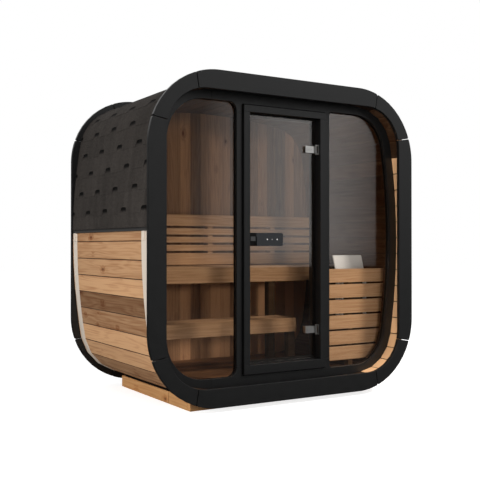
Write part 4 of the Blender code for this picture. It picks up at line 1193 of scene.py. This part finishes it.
class CABIN_OT_stove(bpy.types.Operator):
    """Finish the stove and fill it with stones"""

    bl_idname = "cabin.stove"
    bl_label = "Stove"

    def execute(self, context):
        low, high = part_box("heater")
        for name, finish, away, replaced in (
            ("stove_casing", "heat_darkened_steel", 1, ("heater",)),
            ("stove_panel", "bead_blasted_stainless", -1, ()),
        ):
            shape = from_frame("heater")
            soften(shape, INNER_EDGE)
            cut_off(shape, (0, 0, high[2] - PANEL_HEIGHT), (0, 0, away))
            finished(name, shape, steel(finish), "cabin", replaced)
        draw = random.Random(5)
        stone = self.stone(draw)
        places = []
        for row in range(STONE_ROWS):
            for column in range(STONE_ROWS):
                x = low[0] + STONE_FIRST[0] + column * STONE_STEP[0] + draw.uniform(-STONE_STRAY, STONE_STRAY)
                y = low[1] + STONE_FIRST[1] + row * STONE_STEP[1] + draw.uniform(-STONE_STRAY, STONE_STRAY)
                z = STONE_LEVEL + draw.uniform(0.0, STONE_LIFT)
                places.append(((x, y, z), tuple(draw.uniform(0, 6) for _ in range(3))))
        finish = once("olivine_stone", olivine_stone)
        shape = laid(stone, places, finish, seed=4)
        finished("stove_stones", shape, finish, "cabin", (), 20.0)
        return {"FINISHED"}

    def stone(self, draw):
        """One rough stone, flatter than it is wide."""
        flat = 0.8
        rough = (-0.16, 0.12)
        shape = bmesh.new()
        bmesh.ops.create_icosphere(shape, subdivisions=2, radius=STONE_RADIUS)
        for vertex in shape.verts:
            vertex.co *= 1.0 + draw.uniform(*rough)
            vertex.co.z *= flat
        return shape


class CABIN_OT_stage(bpy.types.Operator):
    """Set up the pale floor, the light and the camera"""

    bl_idname = "cabin.stage"
    bl_label = "Stage"

    def execute(self, context):
        scene = bpy.context.scene
        scene.view_settings.view_transform = "Standard"
        scene.world = self.room()
        self.floor(scene)
        for name, place, side, power in LAMPS:
            self.lamp(scene, name, place, side, power)
        self.camera(scene)
        return {"FINISHED"}

    def rays(self, tree):
        """The kinds of ray, and 1 for one that comes from the camera or through something clear."""
        kinds = add(tree, "ShaderNodeLightPath").outputs
        both = {0: kinds["Is Camera Ray"], 1: kinds["Is Transmission Ray"]}
        return kinds, add(tree, "ShaderNodeMath", both, operation="ADD").outputs[0]

    def room(self):
        """A white backdrop that lights the object softly.

        What shines mirrors a dark room with a pale ceiling and a tall pale panel at the right of the front.
        """
        world = bpy.data.worlds.new("pale_room")
        world.use_nodes = True
        tree = world.node_tree
        tree.nodes.clear()
        kinds, seen = self.rays(tree)
        towards = add(tree, "ShaderNodeTexCoord").outputs["Generated"]
        aim = add(tree, "ShaderNodeSeparateXYZ", {0: towards}).outputs
        # Each line fades one edge of the panel, from its dark side to its bright side, down to a least share
        panel = 1.5
        for axis, start, end, least in (
            ("X", 0.44, 0.57, 0.0),
            ("X", 0.68, 0.60, 0.16),
            ("Y", -0.3, -0.5, 0.0),
            ("Z", -0.055, 0.010, 0.0),
        ):
            fade = {"Value": aim[axis], "From Min": start, "From Max": end, "To Min": least}
            edge = add(tree, "ShaderNodeMapRange", fade, interpolation_type="SMOOTHSTEP").outputs["Result"]
            panel = add(tree, "ShaderNodeMath", {0: edge, 1: panel}, operation="MULTIPLY").outputs[0]
        ceiling = {"Value": aim["Z"], "From Min": 0.13, "From Max": 0.36, "To Min": 0.08, "To Max": 1.0}
        mirrored = add(tree, "ShaderNodeMapRange", ceiling).outputs["Result"]
        mirrored = add(tree, "ShaderNodeMath", {0: mirrored, 1: panel}, operation="MAXIMUM").outputs[0]
        # A matt surface gets a soft light and a shiny one the mirrored room, while the camera sees white
        indirect = {"Value": kinds["Is Glossy Ray"], "To Min": 0.42, "To Max": mirrored}
        strength = add(tree, "ShaderNodeMapRange", indirect).outputs["Result"]
        strength = add(tree, "ShaderNodeMapRange", {"Value": seen, "To Min": strength, "To Max": 1.0})
        white = {"Color": srgb("FFFFFF"), "Strength": strength.outputs["Result"]}
        light = add(tree, "ShaderNodeBackground", white).outputs[0]
        add(tree, "ShaderNodeOutputWorld", {"Surface": light})
        return world

    def floor(self, scene):
        """Pale matt floor that the camera sees as white as the backdrop, apart from the object's shadow."""
        finish, tree = new_material("pale_ground")
        kinds, seen = self.rays(tree)
        unlit = {"Value": seen, "To Min": 0.0, "To Max": 0.75}
        glow = add(tree, "ShaderNodeMapRange", unlit).outputs["Result"]
        greys = {0: kinds["Is Glossy Ray"], 6: (*colours().ground, 1.0), 7: (*colours().ground_mirrored, 1.0)}
        shade = add(tree, "ShaderNodeMix", greys, data_type="RGBA").outputs[2]
        pale = add(tree, "ShaderNodeBsdfDiffuse", {"Color": shade}).outputs[0]
        glowing = add(tree, "ShaderNodeEmission", {"Strength": glow}).outputs[0]
        both = add(tree, "ShaderNodeAddShader", {0: pale, 1: glowing}).outputs[0]
        add(tree, "ShaderNodeOutputMaterial", {"Surface": both})
        reach = 30
        mesh = bpy.data.meshes.new("ground")
        corners = [(-reach, -reach, 0), (reach, -reach, 0), (reach, reach, 0), (-reach, reach, 0)]
        mesh.from_pydata(corners, [], [(0, 1, 2, 3)])
        mesh.materials.append(finish)
        ground = bpy.data.objects.new("ground", mesh)
        scene.collection.objects.link(ground)

    def lamp(self, scene, name, place, side, power):
        """A square lamp that faces the cabin's middle and shows in nothing."""
        light = bpy.data.lights.new(name, "AREA")
        light.size = side
        light.energy = power
        lamp = bpy.data.objects.new(name, light)
        lamp.location = place
        aim = Vector((0.0, 0.0, MID_Z)) - lamp.location
        lamp.rotation_euler = aim.to_track_quat("-Z", "Y").to_euler()
        lamp.visible_camera = False
        lamp.visible_glossy = False
        scene.collection.objects.link(lamp)

    def camera(self, scene):
        camera = bpy.data.objects.new("camera", bpy.data.cameras.new("camera"))
        scene.collection.objects.link(camera)
        camera.location = CAMERA_PLACE
        yaw, pitch = math.radians(CAMERA_YAW), math.radians(CAMERA_PITCH)
        level = math.cos(pitch)
        view = Vector((math.sin(yaw) * level, math.cos(yaw) * level, math.sin(pitch)))
        camera.rotation_euler = view.to_track_quat("-Z", "Y").to_euler()
        camera.data.lens = CAMERA_LENS
        camera.data.sensor_width = CAMERA_SENSOR
        camera.data.clip_end = 100.0
        scene.camera = camera


class CABIN_PT_panel(bpy.types.Panel):
    """Lists the cabin's sizes, colours and pieces"""

    bl_idname = "CABIN_PT_panel"
    bl_label = "Sauna cabin"
    bl_space_type = "VIEW_3D"
    bl_region_type = "UI"
    bl_category = "Cabin"

    def draw(self, context):
        for group in (context.scene.cabin_sizes, context.scene.cabin_colours):
            column = self.layout.column()
            for name in group.bl_rna.properties.keys():
                if name not in ("rna_type", "name"):
                    column.prop(group, name)
        for operator in OPERATORS:
            self.layout.operator(operator.bl_idname)


OPERATORS = (
    CABIN_OT_staves,
    CABIN_OT_roofing,
    CABIN_OT_trims,
    CABIN_OT_straps,
    CABIN_OT_base,
    CABIN_OT_front_wall,
    CABIN_OT_glass,
    CABIN_OT_door_fittings,
    CABIN_OT_lining,
    CABIN_OT_benches,
    CABIN_OT_stove,
    CABIN_OT_stage,
)
CLASSES = (CabinSizes, CabinColours, CABIN_PT_panel, *OPERATORS)


def register():
    for cls in CLASSES:
        bpy.utils.register_class(cls)
    bpy.types.Scene.cabin_sizes = bpy.props.PointerProperty(type=CabinSizes)
    bpy.types.Scene.cabin_colours = bpy.props.PointerProperty(type=CabinColours)


def unregister():
    del bpy.types.Scene.cabin_sizes
    del bpy.types.Scene.cabin_colours
    for cls in reversed(CLASSES):
        bpy.utils.unregister_class(cls)


def main():
    register()
    for operator in OPERATORS:
        group, name = operator.bl_idname.split(".")
        getattr(getattr(bpy.ops, group), name)()


if __name__ == "__main__":
    main()
